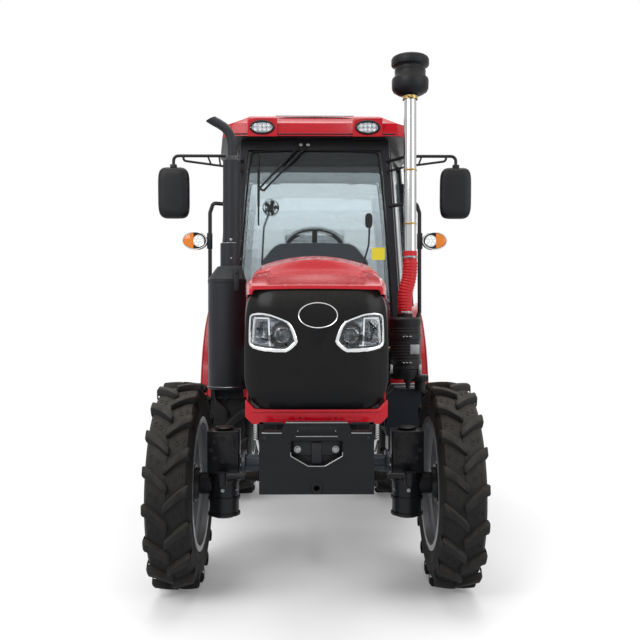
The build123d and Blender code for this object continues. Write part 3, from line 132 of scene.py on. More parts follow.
@dataclass(frozen=True)
class Finish:
    """A material and how its surface was made.

    grain_mm is the width of the surface relief and relief_mm its depth. patch_mm is
    the width of the slow changes of colour between colour and other. dust is the
    share of pale dust on faces that look up, and spread how far the roughness
    varies, as a share of it.
    """

    name: str
    slot: str
    colour: str
    other: str
    roughness: float
    metallic: float = 0.0
    ior: float = 1.5
    coat: float = 0.0
    grain_mm: float = 1.0
    relief_mm: float = 0.05
    patch_mm: float = 90.0
    dust: float = 0.0
    spread: float = 0.12
    transmission: float = 0.0
    alpha: float = 1.0
    glow: float = 0.0
    specular: float = 0.28

    def relief(self, tree: bpy.types.NodeTree, place: bpy.types.NodeSocket) -> bpy.types.NodeSocket:
        """Return the surface's height pattern, here the orange peel of sprayed paint."""
        grain = add_node(tree, "ShaderNodeTexNoise", {"Vector": place, "Scale": 1000 / self.grain_mm,
            "Detail": 2.0})
        return grain.outputs["Fac"]

    def build(self) -> bpy.types.Material:
        """Return the finish as a node material, made once.

        Returns:
            The material with the finish's name.
        """
        found = bpy.data.materials.get(self.name)
        if found:
            return found
        material = bpy.data.materials.new(self.name)
        material.use_nodes = True
        tree = material.node_tree
        tree.nodes.clear()
        place = add_node(tree, "ShaderNodeTexCoord").outputs["Object"]
        patches = add_node(tree, "ShaderNodeTexNoise", {"Vector": place, "Scale": 1000 / self.patch_mm,
            "Detail": 5.0})
        tint = add_node(tree, "ShaderNodeMix", {
            0: patches.outputs["Fac"], 6: linear(self.colour), 7: linear(self.other)}, data_type="RGBA")
        colour = tint.outputs[2]
        height = self.relief(tree, place)
        if self.dust > 0:
            normal = add_node(tree, "ShaderNodeNewGeometry").outputs["Normal"]
            up = add_node(tree, "ShaderNodeSeparateXYZ", {"Vector": normal}).outputs["Z"]
            specks = add_node(tree, "ShaderNodeTexNoise", {"Vector": place, "Scale": 60.0, "Detail": 8.0,
                "Roughness": 0.7})
            facing = add_node(tree, "ShaderNodeMapRange", {"Value": up, "From Min": -0.1, "From Max": 0.9,
                "To Max": self.dust})
            share = calculated(tree, "MULTIPLY", facing.outputs[0], specks.outputs["Fac"])
            dusty = add_node(tree, "ShaderNodeMix", {0: share, 6: colour, 7: linear(DUST_COLOUR)}, data_type="RGBA")
            colour = dusty.outputs[2]
        rough = add_node(tree, "ShaderNodeMapRange", {
            "Value": patches.outputs["Fac"], "From Min": 0.3, "From Max": 0.7,
            "To Min": self.roughness * (1 - self.spread), "To Max": self.roughness * (1 + self.spread)})
        bump = add_node(tree, "ShaderNodeBump", {"Height": height, "Strength": 0.6,
            "Distance": self.relief_mm / 1000})
        shader = add_node(tree, "ShaderNodeBsdfPrincipled", {
            "Base Color": colour, "Roughness": rough.outputs[0], "Normal": bump.outputs[0],
            "Metallic": self.metallic, "Coat Weight": self.coat, "Coat Roughness": COAT_ROUGHNESS,
            "Transmission Weight": self.transmission, "Alpha": self.alpha})
        if self.metallic < 0.5:
            shader.inputs["IOR"].default_value = self.ior
            shader.inputs["Specular IOR Level"].default_value = self.specular
        if self.glow:
            shader.inputs["Emission Color"].default_value = linear(self.colour)
            shader.inputs["Emission Strength"].default_value = self.glow
        add_node(tree, "ShaderNodeOutputMaterial", {"Surface": shader.outputs[0]})
        return material


@dataclass(frozen=True)
class Moulded(Finish):
    """Plastic with the fine pebbled grain of an etched mould."""

    def relief(self, tree: bpy.types.NodeTree, place: bpy.types.NodeSocket) -> bpy.types.NodeSocket:
        """Return a field of small rounded cells."""
        cells = add_node(tree, "ShaderNodeTexVoronoi", {
            "Vector": place, "Scale": 1000 / self.grain_mm, "Smoothness": 0.6}, feature="SMOOTH_F1")
        return cells.outputs["Distance"]


@dataclass(frozen=True)
class Drawn(Finish):
    """Metal with lines along the tractor's height, from drawing or brushing."""

    def relief(self, tree: bpy.types.NodeTree, place: bpy.types.NodeSocket) -> bpy.types.NodeSocket:
        """Return noise that is stretched along Z."""
        scale = 1000 / self.grain_mm
        long = add_node(tree, "ShaderNodeMapping", {"Vector": place, "Scale": (scale, scale, scale / 60)})
        return add_node(tree, "ShaderNodeTexNoise", {"Vector": long.outputs[0], "Scale": 1.0,
            "Detail": 3.0}).outputs["Fac"]


@dataclass(frozen=True)
class Cast(Finish):
    """A sand-cast or vulcanised surface, rough at two sizes."""

    def relief(self, tree: bpy.types.NodeTree, place: bpy.types.NodeSocket) -> bpy.types.NodeSocket:
        """Return coarse and fine noise added together."""
        coarse = add_node(tree, "ShaderNodeTexNoise", {"Vector": place, "Scale": 200 / self.grain_mm,
            "Detail": 3.0})
        fine = add_node(tree, "ShaderNodeTexNoise", {"Vector": place, "Scale": 1000 / self.grain_mm, "Detail": 6.0})
        return calculated(tree, "ADD", coarse.outputs["Fac"], fine.outputs["Fac"])


@dataclass(frozen=True)
class Woven(Finish):
    """Cloth with crossing threads."""

    def relief(self, tree: bpy.types.NodeTree, place: bpy.types.NodeSocket) -> bpy.types.NodeSocket:
        """Return the higher of two crossing sets of threads."""
        waves = []
        for axis in ("X", "Z"):
            wave = add_node(tree, "ShaderNodeTexWave", {
                "Vector": place, "Scale": 314 / self.grain_mm, "Distortion": 0.4}, bands_direction=axis)
            waves.append(wave.outputs["Fac"])
        return calculated(tree, "MAXIMUM", *waves)


class Skin(Enum):
    """The finishes on this tractor."""

    # Sprayed alkyd enamel: deep gloss with a faint orange peel about 3 mm wide.
    RED = Finish("alkyd_enamel_red", "red_paint", "AC0A1D", "9C081A", 0.26, coat=0.18, grain_mm=3.2, relief_mm=0.05,
                 dust=0.08, specular=0.22)
    # The same enamel in satin black: blue-black in the light, dusty where it lies flat.
    BLACK = Finish("enamel_black_satin", "black_paint", "0F1115", "16181D", 0.40, coat=0.05, grain_mm=2.6,
                   relief_mm=0.05, dust=0.08, specular=0.22)
    # Powder coat on thick plate: even, pebbled and duller.
    PLATE = Cast("powder_coat_black", "black_paint", "0B0D10", "121418", 0.55, grain_mm=1.6, relief_mm=0.09,
                 dust=0.10, specular=0.16)
    # Grey machine enamel over castings.
    GREY = Cast("machine_enamel_grey", "grey_paint", "333B46", "272E37", 0.38, coat=0.1, grain_mm=3.0,
                relief_mm=0.14, dust=0.12)
    # Painted grey iron: sand texture under a dark coat.
    IRON = Cast("grey_iron_painted", "cast_paint", "131519", "1C1F23", 0.55, grain_mm=2.4, relief_mm=0.3, dust=0.14,
                specular=0.2)
    # Wheel silver: aluminium flake lacquer on rolled steel, its colour darkened to a mid grey as painted shade for
    # rims that sit in the wheels' shadow.
    SILVER = Finish("wheel_lacquer_silver", "silver_paint", "96999C", "86898C", 0.36, metallic=0.5, coat=0.2,
                    grain_mm=1.5, relief_mm=0.03, dust=0.12)
    # Heat-proof paint on the muffler: flat, with a cool cast.
    HEAT = Cast("heat_paint_charcoal", "exhaust_paint", "1A1E24", "14171C", 0.50, grain_mm=1.2, relief_mm=0.06,
                dust=0.08, specular=0.25)
    # Moulded ABS and polypropylene trim.
    PLASTIC = Moulded("abs_moulded_black", "black_plastic", "0C0E11", "131519", 0.46, grain_mm=1.3, relief_mm=0.025,
                      dust=0.10, specular=0.2)
    # The nose's ABS is darker and finer, and shows broad soft reflections.
    NOSE = Moulded("abs_nose_black", "black_plastic", "08090B", "0B0C0F", 0.30, coat=0.04, grain_mm=1.0,
                   relief_mm=0.035, dust=0.10, specular=0.12)
    # Blow-moulded polyethylene of the tank: waxy and blue-grey.
    TANK = Moulded("polyethylene_tank", "black_plastic", "1B222B", "151A21", 0.46, grain_mm=2.2, relief_mm=0.12,
                   dust=0.10, specular=0.22)
    # Carbon-black rubber: dull, brownish where soil has dried in it.
    RUBBER = Cast("tread_rubber", "tyre", "131416", "1C1B1A", 0.72, grain_mm=2.0, relief_mm=0.16, patch_mm=60.0,
                  dust=0.14, specular=0.2)
    # Silicone hose: flat bright red.
    HOSE = Moulded("silicone_hose_red", "red_rubber", "B4161F", "A0121A", 0.48, grain_mm=1.4, relief_mm=0.05,
                   dust=0.06)
    # Stainless tube: bright, with fine drawing lines down its length.
    STAINLESS = Drawn("stainless_tube_polished", "stainless", "B9BABA", "A9AAAB", 0.16, metallic=1.0, grain_mm=0.9,
                      relief_mm=0.012)
    # Yellow-passivated zinc on clamps and latches.
    ZINC = Finish("zinc_passivated", "steel", "B39A55", "A88C66", 0.32, metallic=1.0, grain_mm=1.2, relief_mm=0.03,
                  patch_mm=12.0)
    # Plain bright steel of bolts, rods and tabs.
    STEEL = Drawn("steel_bright", "steel", "9A9B9C", "868788", 0.3, metallic=1.0, grain_mm=1.4, relief_mm=0.03,
                  patch_mm=20.0)
    # Vacuum-plated trim: mirror bright.
    CHROME = Finish("chrome_plated_trim", "steel", "E4E5E6", "DADBDC", 0.08, metallic=1.0, grain_mm=6.0,
                    relief_mm=0.01)
    # Aluminised reflectors behind the lenses.
    REFLECTOR = Finish("aluminised_reflector", "steel", "AEB4BA", "6E757E", 0.16, metallic=1.0, grain_mm=5.0,
                       relief_mm=0.25, patch_mm=11.0)
    # Clear polycarbonate lens.
    LENS = Finish("polycarbonate_clear", "lamp_lens", "FFFFFF", "F4F8FA", 0.04, ior=1.5, grain_mm=8.0,
                  relief_mm=0.01, transmission=1.0, alpha=0.55)
    # Amber acrylic of the indicators.
    AMBER = Finish("acrylic_amber", "amber_lens", "F08A12", "E57A08", 0.14, ior=1.49, coat=0.4, grain_mm=3.0,
                   relief_mm=0.05, transmission=0.35, glow=0.12)
    # White emitters of the lamps, unlit but pale.
    WHITE = Finish("led_emitter_white", "lamp_lens", "F2F4F4", "E2E5E8", 0.3, grain_mm=1.5, relief_mm=0.04,
                   glow=0.15)
    # Toughened glass with a slight grey-green tint.
    GLASS = Finish("toughened_glass", "glass", "7E8D92", "78878D", 0.003, ior=1.5, grain_mm=400.0, relief_mm=0.02,
                   transmission=1.0, alpha=0.5, specular=0.5)
    # Silvered mirror glass.
    MIRROR = Finish("silvered_glass", "steel", "DDE1E3", "D7DCDE", 0.03, metallic=1.0, grain_mm=200.0,
                    relief_mm=0.01)
    # Woven polyester on the seat.
    FABRIC = Woven("polyester_woven", "seat_fabric", "1B1C20", "25262B", 0.85, grain_mm=3.0, relief_mm=0.25)
    # Felt headlining inside the roof.
    LINING = Cast("headliner_felt", "grey_paint", "262D2B", "1F2524", 0.9, grain_mm=1.5, relief_mm=0.12)
    # Pale vinyl of the ceiling panel.
    CEILING = Moulded("vinyl_ceiling_grey", "grey_paint", "6C767C", "646E73", 0.7, grain_mm=2.5, relief_mm=0.08)
    # Grey vinyl over the dash cowl, matt so that it doesn't mirror in the windshield.
    COWL = Moulded("vinyl_cowl_grey", "black_plastic", "50555E", "484D55", 0.65, grain_mm=2.0, relief_mm=0.02)
    # Dark smoked acrylic of the lamp's inner bezel.
    SMOKE = Finish("acrylic_smoked", "black_plastic", "1A1D21", "22262B", 0.2, grain_mm=3.0, relief_mm=0.03)
    # Safety-yellow printed film, left blank.
    FILM = Finish("vinyl_film_yellow", "amber_lens", "D9C838", "CDBB2C", 0.4, grain_mm=2.0, relief_mm=0.02)


def dress(thing: bpy.types.Object, skin: Skin) -> bpy.types.Object:
    """Give an object one finish all over.

    Args:
        thing: the mesh object.
        skin: the finish.

    Returns:
        The same object.
    """
    thing.data.materials.clear()
    thing.data.materials.append(skin.value.build())
    return thing


def new_object(name: str, data: bpy.types.Mesh | bpy.types.Curve) -> bpy.types.Object:
    """Put a mesh or a curve into the scene as an object at the origin."""
    thing = bpy.data.objects.new(name, data)
    bpy.context.scene.collection.objects.link(thing)
    return thing


def from_faces(name: str, points: Sequence[Point], faces: Sequence[Sequence[int]],
               angle: float = 35.0) -> bpy.types.Object:
    """Make a closed mesh whose faces point outwards.

    Args:
        name: the object's name.
        points: the vertices.
        faces: each face as vertex numbers.
        angle: edges bent by more than this many degrees stay sharp.

    Returns:
        The new object.
    """
    mesh = bpy.data.meshes.new(name)
    mesh.from_pydata([tuple(p) for p in points], [], [list(f) for f in faces])
    tidy(mesh)
    shade(mesh, angle)
    return new_object(name, mesh)


def tidy(mesh: bpy.types.Mesh) -> None:
    """Merge doubled vertices and turn every face outwards."""
    build = bmesh.new()
    build.from_mesh(mesh)
    bmesh.ops.remove_doubles(build, verts=build.verts, dist=1e-6)
    bmesh.ops.recalc_face_normals(build, faces=build.faces)
    build.to_mesh(mesh)
    build.free()


def shade(mesh: bpy.types.Mesh, angle: float) -> None:
    """Shade a mesh smooth, and sharp at edges over an angle in degrees."""
    mesh.shade_smooth()
    mesh.set_sharp_from_angle(angle=math.radians(angle))


def baked(thing: bpy.types.Object) -> bpy.types.Object:
    """Turn an object with modifiers, or a curve, into a plain mesh object of the same name."""
    bpy.context.view_layer.update()
    graph = bpy.context.evaluated_depsgraph_get()
    mesh = bpy.data.meshes.new_from_object(thing.evaluated_get(graph), depsgraph=graph)
    name = thing.name
    bpy.data.objects.remove(thing)
    mesh.name = name
    return new_object(name, mesh)


def soften(thing: bpy.types.Object, width: float, segments: int = 2, angle: float = 30.0) -> bpy.types.Object:
    """Round an object's sharp edges.

    Args:
        thing: the mesh object.
        width: the bevel's width in metres.
        segments: its number of steps.
        angle: only edges bent by more than this many degrees are rounded.

    Returns:
        The rounded object.
    """
    bevel = thing.modifiers.new("bevel", "BEVEL")
    bevel.width, bevel.segments = width, segments
    bevel.limit_method, bevel.angle_limit = "ANGLE", math.radians(angle)
    bevel.harden_normals = False
    result = baked(thing)
    shade(result.data, 40.0)
    return result


def walled(thing: bpy.types.Object, thickness: float) -> bpy.types.Object:
    """Give an open sheet a wall, in metres, on its inner side."""
    wall = thing.modifiers.new("wall", "SOLIDIFY")
    wall.thickness, wall.offset = thickness, -1.0
    return baked(thing)


def cut_by(thing: bpy.types.Object, cutter: bpy.types.Object) -> bpy.types.Object:
    """Cut one object out of another, using it up."""
    cut = thing.modifiers.new("cut", "BOOLEAN")
    cut.object, cut.operation, cut.solver = cutter, "DIFFERENCE", "EXACT"
    result = baked(thing)
    bpy.data.objects.remove(cutter)
    return result


def band_faces(rings: int, count: int, looped: bool) -> list[tuple[int, ...]]:
    """Return the four-sided faces between rings of equally many points.

    Args:
        rings: the number of rings.
        count: the points in each.
        looped: join the last ring to the first.

    Returns:
        Each face as point numbers.
    """
    faces: list[tuple[int, ...]] = []
    for ring in range(rings if looped else rings - 1):
        low, high = ring * count, (ring + 1) % rings * count
        for i in range(count):
            j = (i + 1) % count
            faces.append((low + i, low + j, high + j, high + i))
    return faces


def lathe(name: str, profile: Sequence[Flat], centre: Point, axis: str = "Z",
          segments: int = 64) -> bpy.types.Object:
    """Turn a profile about a line through a centre.

    Args:
        name: the object's name.
        profile: (radius, height along the axis) points. It closes at a radius of 0, or else on itself.
        centre: where height 0 lies.
        axis: "X", "Y" or "Z".
        segments: the steps round the axis.

    Returns:
        The new object.
    """
    points: list[Point] = []
    for radius, height in profile:
        for i in range(segments):
            turn = 2 * math.pi * i / segments
            u, v = radius * math.cos(turn), radius * math.sin(turn)
            local = {"X": (height, u, v), "Y": (u, height, v), "Z": (u, v, height)}[axis]
            points.append(tuple(c + l for c, l in zip(centre, local)))
    closed = profile[0][0] > 1e-6 and profile[-1][0] > 1e-6
    return from_faces(name, points, band_faces(len(profile), segments, closed))


def loft(name: str, sections: Sequence[Sequence[Point]], angle: float = 35.0, capped: bool = True,
         looped: bool | None = None) -> bpy.types.Object:
    """Join closed sections of equal count into one shell.

    Args:
        name: the object's name.
        sections: the sections in order.
        angle: edges bent by more than this many degrees stay sharp.
        capped: close both ends with a face.
        looped: join the last section to the first. Left out, it is so when there are no caps.

    Returns:
        The new object.
    """
    count = len(sections[0])
    points = [p for section in sections for p in section]
    total = len(sections)
    faces = band_faces(total, count, not capped if looped is None else looped)
    if capped:
        faces.append(tuple(range(count)))
        faces.append(tuple(range((total - 1) * count, total * count)))
    return from_faces(name, points, faces, angle)


def prism(name: str, outline: Sequence[Flat], axis: str, low: float, high: float,
          bevel: float = 0.0) -> bpy.types.Object:
    """Extrude a flat outline along an axis.

    Args:
        name: the object's name.
        outline: points in the plane across the axis, in the order of the two other axes.
        axis: "X", "Y" or "Z".
        low: where the extrusion starts on the axis.
        high: where it ends.
        bevel: the width of its rounded edges, in metres.

    Returns:
        The new object.
    """
    def at(point: Flat, level: float) -> Point:
        """Return a point of the outline at a level on the axis."""
        u, v = point
        return {"X": (level, u, v), "Y": (u, level, v), "Z": (u, v, level)}[axis]

    thing = loft(name, [[at(p, low) for p in outline], [at(p, high) for p in outline]])
    return soften(thing, bevel) if bevel else thing


def slab(name: str, low: Point, high: Point, bevel: float = 0.002) -> bpy.types.Object:
    """Make a block between two corners, with rounded edges."""
    outline = [(low[0], low[2]), (high[0], low[2]), (high[0], high[2]), (low[0], high[2])]
    return prism(name, outline, "Y", low[1], high[1], bevel)


def oval(centre: Flat, wide: float, tall: float, count: int = 48, power: float = 2.0) -> list[Flat]:
    """Return the points of an ellipse, or of a fuller superellipse.

    Args:
        centre: its middle.
        wide: half its width.
        tall: half its height.
        count: the number of points.
        power: 2 for an ellipse, more for squarer corners.

    Returns:
        The outline's points in order.
    """
    outline = []
    for i in range(count):
        turn = 2 * math.pi * i / count
        c, s = math.cos(turn), math.sin(turn)
        outline.append((
            centre[0] + wide * math.copysign(abs(c) ** (2 / power), c),
            centre[1] + tall * math.copysign(abs(s) ** (2 / power), s)))
    return outline


def curved(name: str, route: Sequence[Point]) -> bpy.types.Curve:
    """Return a curve that runs evenly along a line of points."""
    curve = bpy.data.curves.new(name, "CURVE")
    curve.dimensions = "3D"
    spline = curve.splines.new("NURBS")
    spline.points.add(len(route) - 1)
    for knot, place in zip(spline.points, route):
        knot.co = (*place, 1.0)
    spline.order_u, spline.use_endpoint_u = 3, True
    return curve


def tube(name: str, points: Sequence[Point], radius: float, smooth: bool = False, ring: bool = False,
         sides: int = 6) -> bpy.types.Object:
    """Make a round bar or tube along a line of points.

    Args:
        name: the object's name.
        points: the line's points.
        radius: the bar's radius in metres.
        smooth: bend evenly between the points, or else in short rounded corners.
        ring: join the last point to the first.
        sides: half the number of faces round the bar, less two.

    Returns:
        The new object.
    """
    route = [Vector(p) for p in points]
    if not smooth and not ring:
        corners = [route[0]]
        for before, corner, after in zip(route, route[1:], route[2:]):
            reach = min((before - corner).length, (after - corner).length) * 0.45
            step = min(reach, radius * 4)
            corners += [corner + (before - corner).normalized() * step, corner,
                        corner + (after - corner).normalized() * step]
        route = corners + [route[-1]]
    curve = curved(name, route)
    curve.bevel_depth, curve.bevel_resolution, curve.use_fill_caps = radius, sides, True
    spline = curve.splines[0]
    spline.use_endpoint_u, spline.use_cyclic_u, spline.resolution_u = not ring, ring, 6
    thing = baked(new_object(name, curve))
    tidy(thing.data)
    shade(thing.data, 50.0)
    return thing


def in_plane(outline: Iterable[Flat], y: float) -> list[Point]:
    """Return a front outline's (across, height) points at one Y."""
    return [(x, y, z) for x, z in outline]


def joined(name: str, parts: Iterable[bpy.types.Object]) -> bpy.types.Object:
    """Join mesh objects into one, with their own finishes kept.

    Args:
        name: the new object's name.
        parts: the objects, which are used up.

    Returns:
        The joined object.
    """
    build = bmesh.new()
    materials: list[bpy.types.Material] = []
    for part in list(parts):
        start = len(build.faces)
        build.from_mesh(part.data)
        build.faces.ensure_lookup_table()
        slots = []
        for material in part.data.materials:
            if material not in materials:
                materials.append(material)
            slots.append(materials.index(material))
        for face in build.faces[start:]:
            face.material_index = slots[face.material_index] if slots else 0
        bpy.data.objects.remove(part)
    mesh = bpy.data.meshes.new(name)
    for material in materials:
        mesh.materials.append(material)
    build.to_mesh(mesh)
    build.free()
    return new_object(name, mesh)


def moved(thing: bpy.types.Object, place: Matrix | Sequence[float]) -> bpy.types.Object:
    """Move a mesh object's points by a transform, or by a way along the axes."""
    thing.data.transform(place if isinstance(place, Matrix) else Matrix.Translation(place))
    return thing


def copied(name: str, thing: bpy.types.Object, place: Matrix) -> bpy.types.Object:
    """Copy a mesh object to another place, written into its mesh.

    Args:
        name: the copy's name.
        thing: the object to copy.
        place: the transform of its points. A mirror is turned right side out.

    Returns:
        The copy.
    """
    mesh = thing.data.copy()
    mesh.transform(place)
    if place.determinant() < 0:
        mesh.flip_normals()
    return new_object(name, mesh)


def pair(name: str, thing: bpy.types.Object) -> bpy.types.Object:
    """Join a piece and its mirror image on the tractor's other side."""
    return joined(name, [copied(f"{name}_other", thing, ACROSS), thing])


def finished(thing: bpy.types.Object, body: str, skin: Skin | None = None,
             stands_for: Sequence[str] = ()) -> bpy.types.Object:
    """Hand a piece to the frame: its finish, its body and the CAD nodes that it stands for.

    Args:
        thing: the finished mesh object.
        body: the CAD body that it rides on.
        skin: its finish, if it has one all over.
        stands_for: the CAD nodes that it replaces.

    Returns:
        The same object.
    """
    if skin:
        dress(thing, skin)
    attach(thing, body)
    if stands_for:
        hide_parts(*stands_for)
    LOG.info("%s on %s, %d faces", thing.name, body, len(thing.data.polygons))
    return thing


def open_tree(name: str, inputs: dict[str, str]) -> tuple:
    """Start a Geometry Nodes tree with one geometry output.

    Args:
        name: the tree's name.
        inputs: the kind of each named input.

    Returns:
        The tree, the sockets that bring in its inputs, and each input's identifier.
    """
    tree = bpy.data.node_groups.new(name, "GeometryNodeTree")
    tree.interface.new_socket("Geometry", in_out="OUTPUT", socket_type="NodeSocketGeometry")
    ids = {}
    for label, kind in inputs.items():
        ids[label] = tree.interface.new_socket(label, in_out="INPUT", socket_type=f"NodeSocket{kind}").identifier
    return tree, add_node(tree, "NodeGroupInput").outputs, ids


def from_tree(name: str, tree: bpy.types.NodeTree, ids: dict[str, str], values: dict) -> bpy.types.Object:
    """Run a tree with a value for each named input and return what it makes as a plain mesh object."""
    holder = new_object(name, bpy.data.meshes.new(name))
    modifier = holder.modifiers.new("nodes", "NODES")
    modifier.node_group = tree
    for label, value in values.items():
        modifier[ids[label]] = value
    return baked(holder)


class Repeat:
    """Copies of one item by Geometry Nodes, turned round an axis or set in a row."""

    def __init__(self, name: str, item: bpy.types.Object, skin: Skin) -> None:
        """Start a tree with its named inputs.

        Args:
            name: the finished object's name.
            item: the mesh object to repeat, used up at the end.
            skin: the finish of every copy.
        """
        self.name, self.item, self.material = name, item, skin.value.build()
        self.tree, self.given, self.ids = open_tree(name, {
            "Item": "Object", "Count": "Int", "Axis": "Vector", "Sweep": "Float", "Centre": "Vector",
            "Step": "Vector", "Finish": "Material"})

    def _result(self, points: bpy.types.NodeSocket, turn: bpy.types.NodeSocket | None,
                values: dict) -> bpy.types.Object:
        """Instance the item on points, realize it and return it as a plain mesh object."""
        item = add_node(self.tree, "GeometryNodeObjectInfo", {"Object": self.given["Item"]})
        links = {"Points": points, "Instance": item.outputs["Geometry"]}
        if turn is not None:
            links["Rotation"] = turn
        copies = add_node(self.tree, "GeometryNodeInstanceOnPoints", links)
        moved = add_node(self.tree, "GeometryNodeTransform", {"Geometry": copies.outputs[0],
            "Translation": self.given["Centre"]})
        solid = add_node(self.tree, "GeometryNodeRealizeInstances", {"Geometry": moved.outputs[0]})
        done = add_node(self.tree, "GeometryNodeSetMaterial", {"Geometry": solid.outputs[0],
            "Material": self.given["Finish"]})
        add_node(self.tree, "NodeGroupOutput", {"Geometry": done.outputs[0]})
        values = {"Item": self.item, "Finish": self.material, **values}
        result = from_tree(self.name, self.tree, self.ids, values)
        result.data.materials.clear()
        result.data.materials.append(self.material)
        bpy.data.objects.remove(self.item)
        return result

    def round_axis(self, count: int, axis: Point, centre: Point, sweep: float = 360.0) -> bpy.types.Object:
        """Turn copies of the item about an axis through a centre.

        Args:
            count: the number of copies.
            axis: the direction of the axis.
            centre: a point on it. The item is modelled round the origin.
            sweep: the angle that the copies are spread over, in degrees.

        Returns:
            The copies as one mesh object.
        """
        index = add_node(self.tree, "GeometryNodeInputIndex").outputs[0]
        share = calculated(self.tree, "DIVIDE", index, self.given["Count"])
        angle = calculated(self.tree, "MULTIPLY", share, self.given["Sweep"])
        turn = add_node(self.tree, "FunctionNodeAxisAngleToRotation", {"Axis": self.given["Axis"], "Angle": angle})
        points = add_node(self.tree, "GeometryNodePoints", {"Count": self.given["Count"]})
        values = {"Count": count, "Axis": axis, "Sweep": math.radians(sweep), "Centre": centre}
        return self._result(points.outputs[0], turn.outputs[0], values)

    def in_row(self, count: int, step: Point, centre: Point = (0.0, 0.0, 0.0)) -> bpy.types.Object:
        """Set copies of the item in a straight row.

        Args:
            count: the number of copies.
            step: the way from one to the next.
            centre: where the first copy's origin goes.

        Returns:
            The copies as one mesh object.
        """
        line = add_node(self.tree, "GeometryNodeMeshLine", {"Count": self.given["Count"],
            "Offset": self.given["Step"]})
        return self._result(line.outputs[0], None, {"Count": count, "Step": step, "Centre": centre})


def bolt(radius: float, height: float, axis: str = "Y", sign: int = -1) -> bpy.types.Object:
    """Make a hexagon bolt head with its washer, looking along an axis from the origin.

    Args:
        radius: half the width across the head's corners.
        height: the head's height.
        axis: "X", "Y" or "Z".
        sign: the way that the head looks along the axis.

    Returns:
        The bolt head.
    """
    top, low = sign * height, sign * height * 0.22
    washer = lathe("washer", [(0, 0), (radius * 1.3, 0), (radius * 1.3, low), (0, low)], (0, 0, 0), axis, 16)
    head = lathe("head", [(0, low), (radius, low), (radius, top * 0.9), (radius * 0.86, top), (0, top)], (0, 0, 0),
                 axis, 6)
    return joined("bolt", [washer, head])


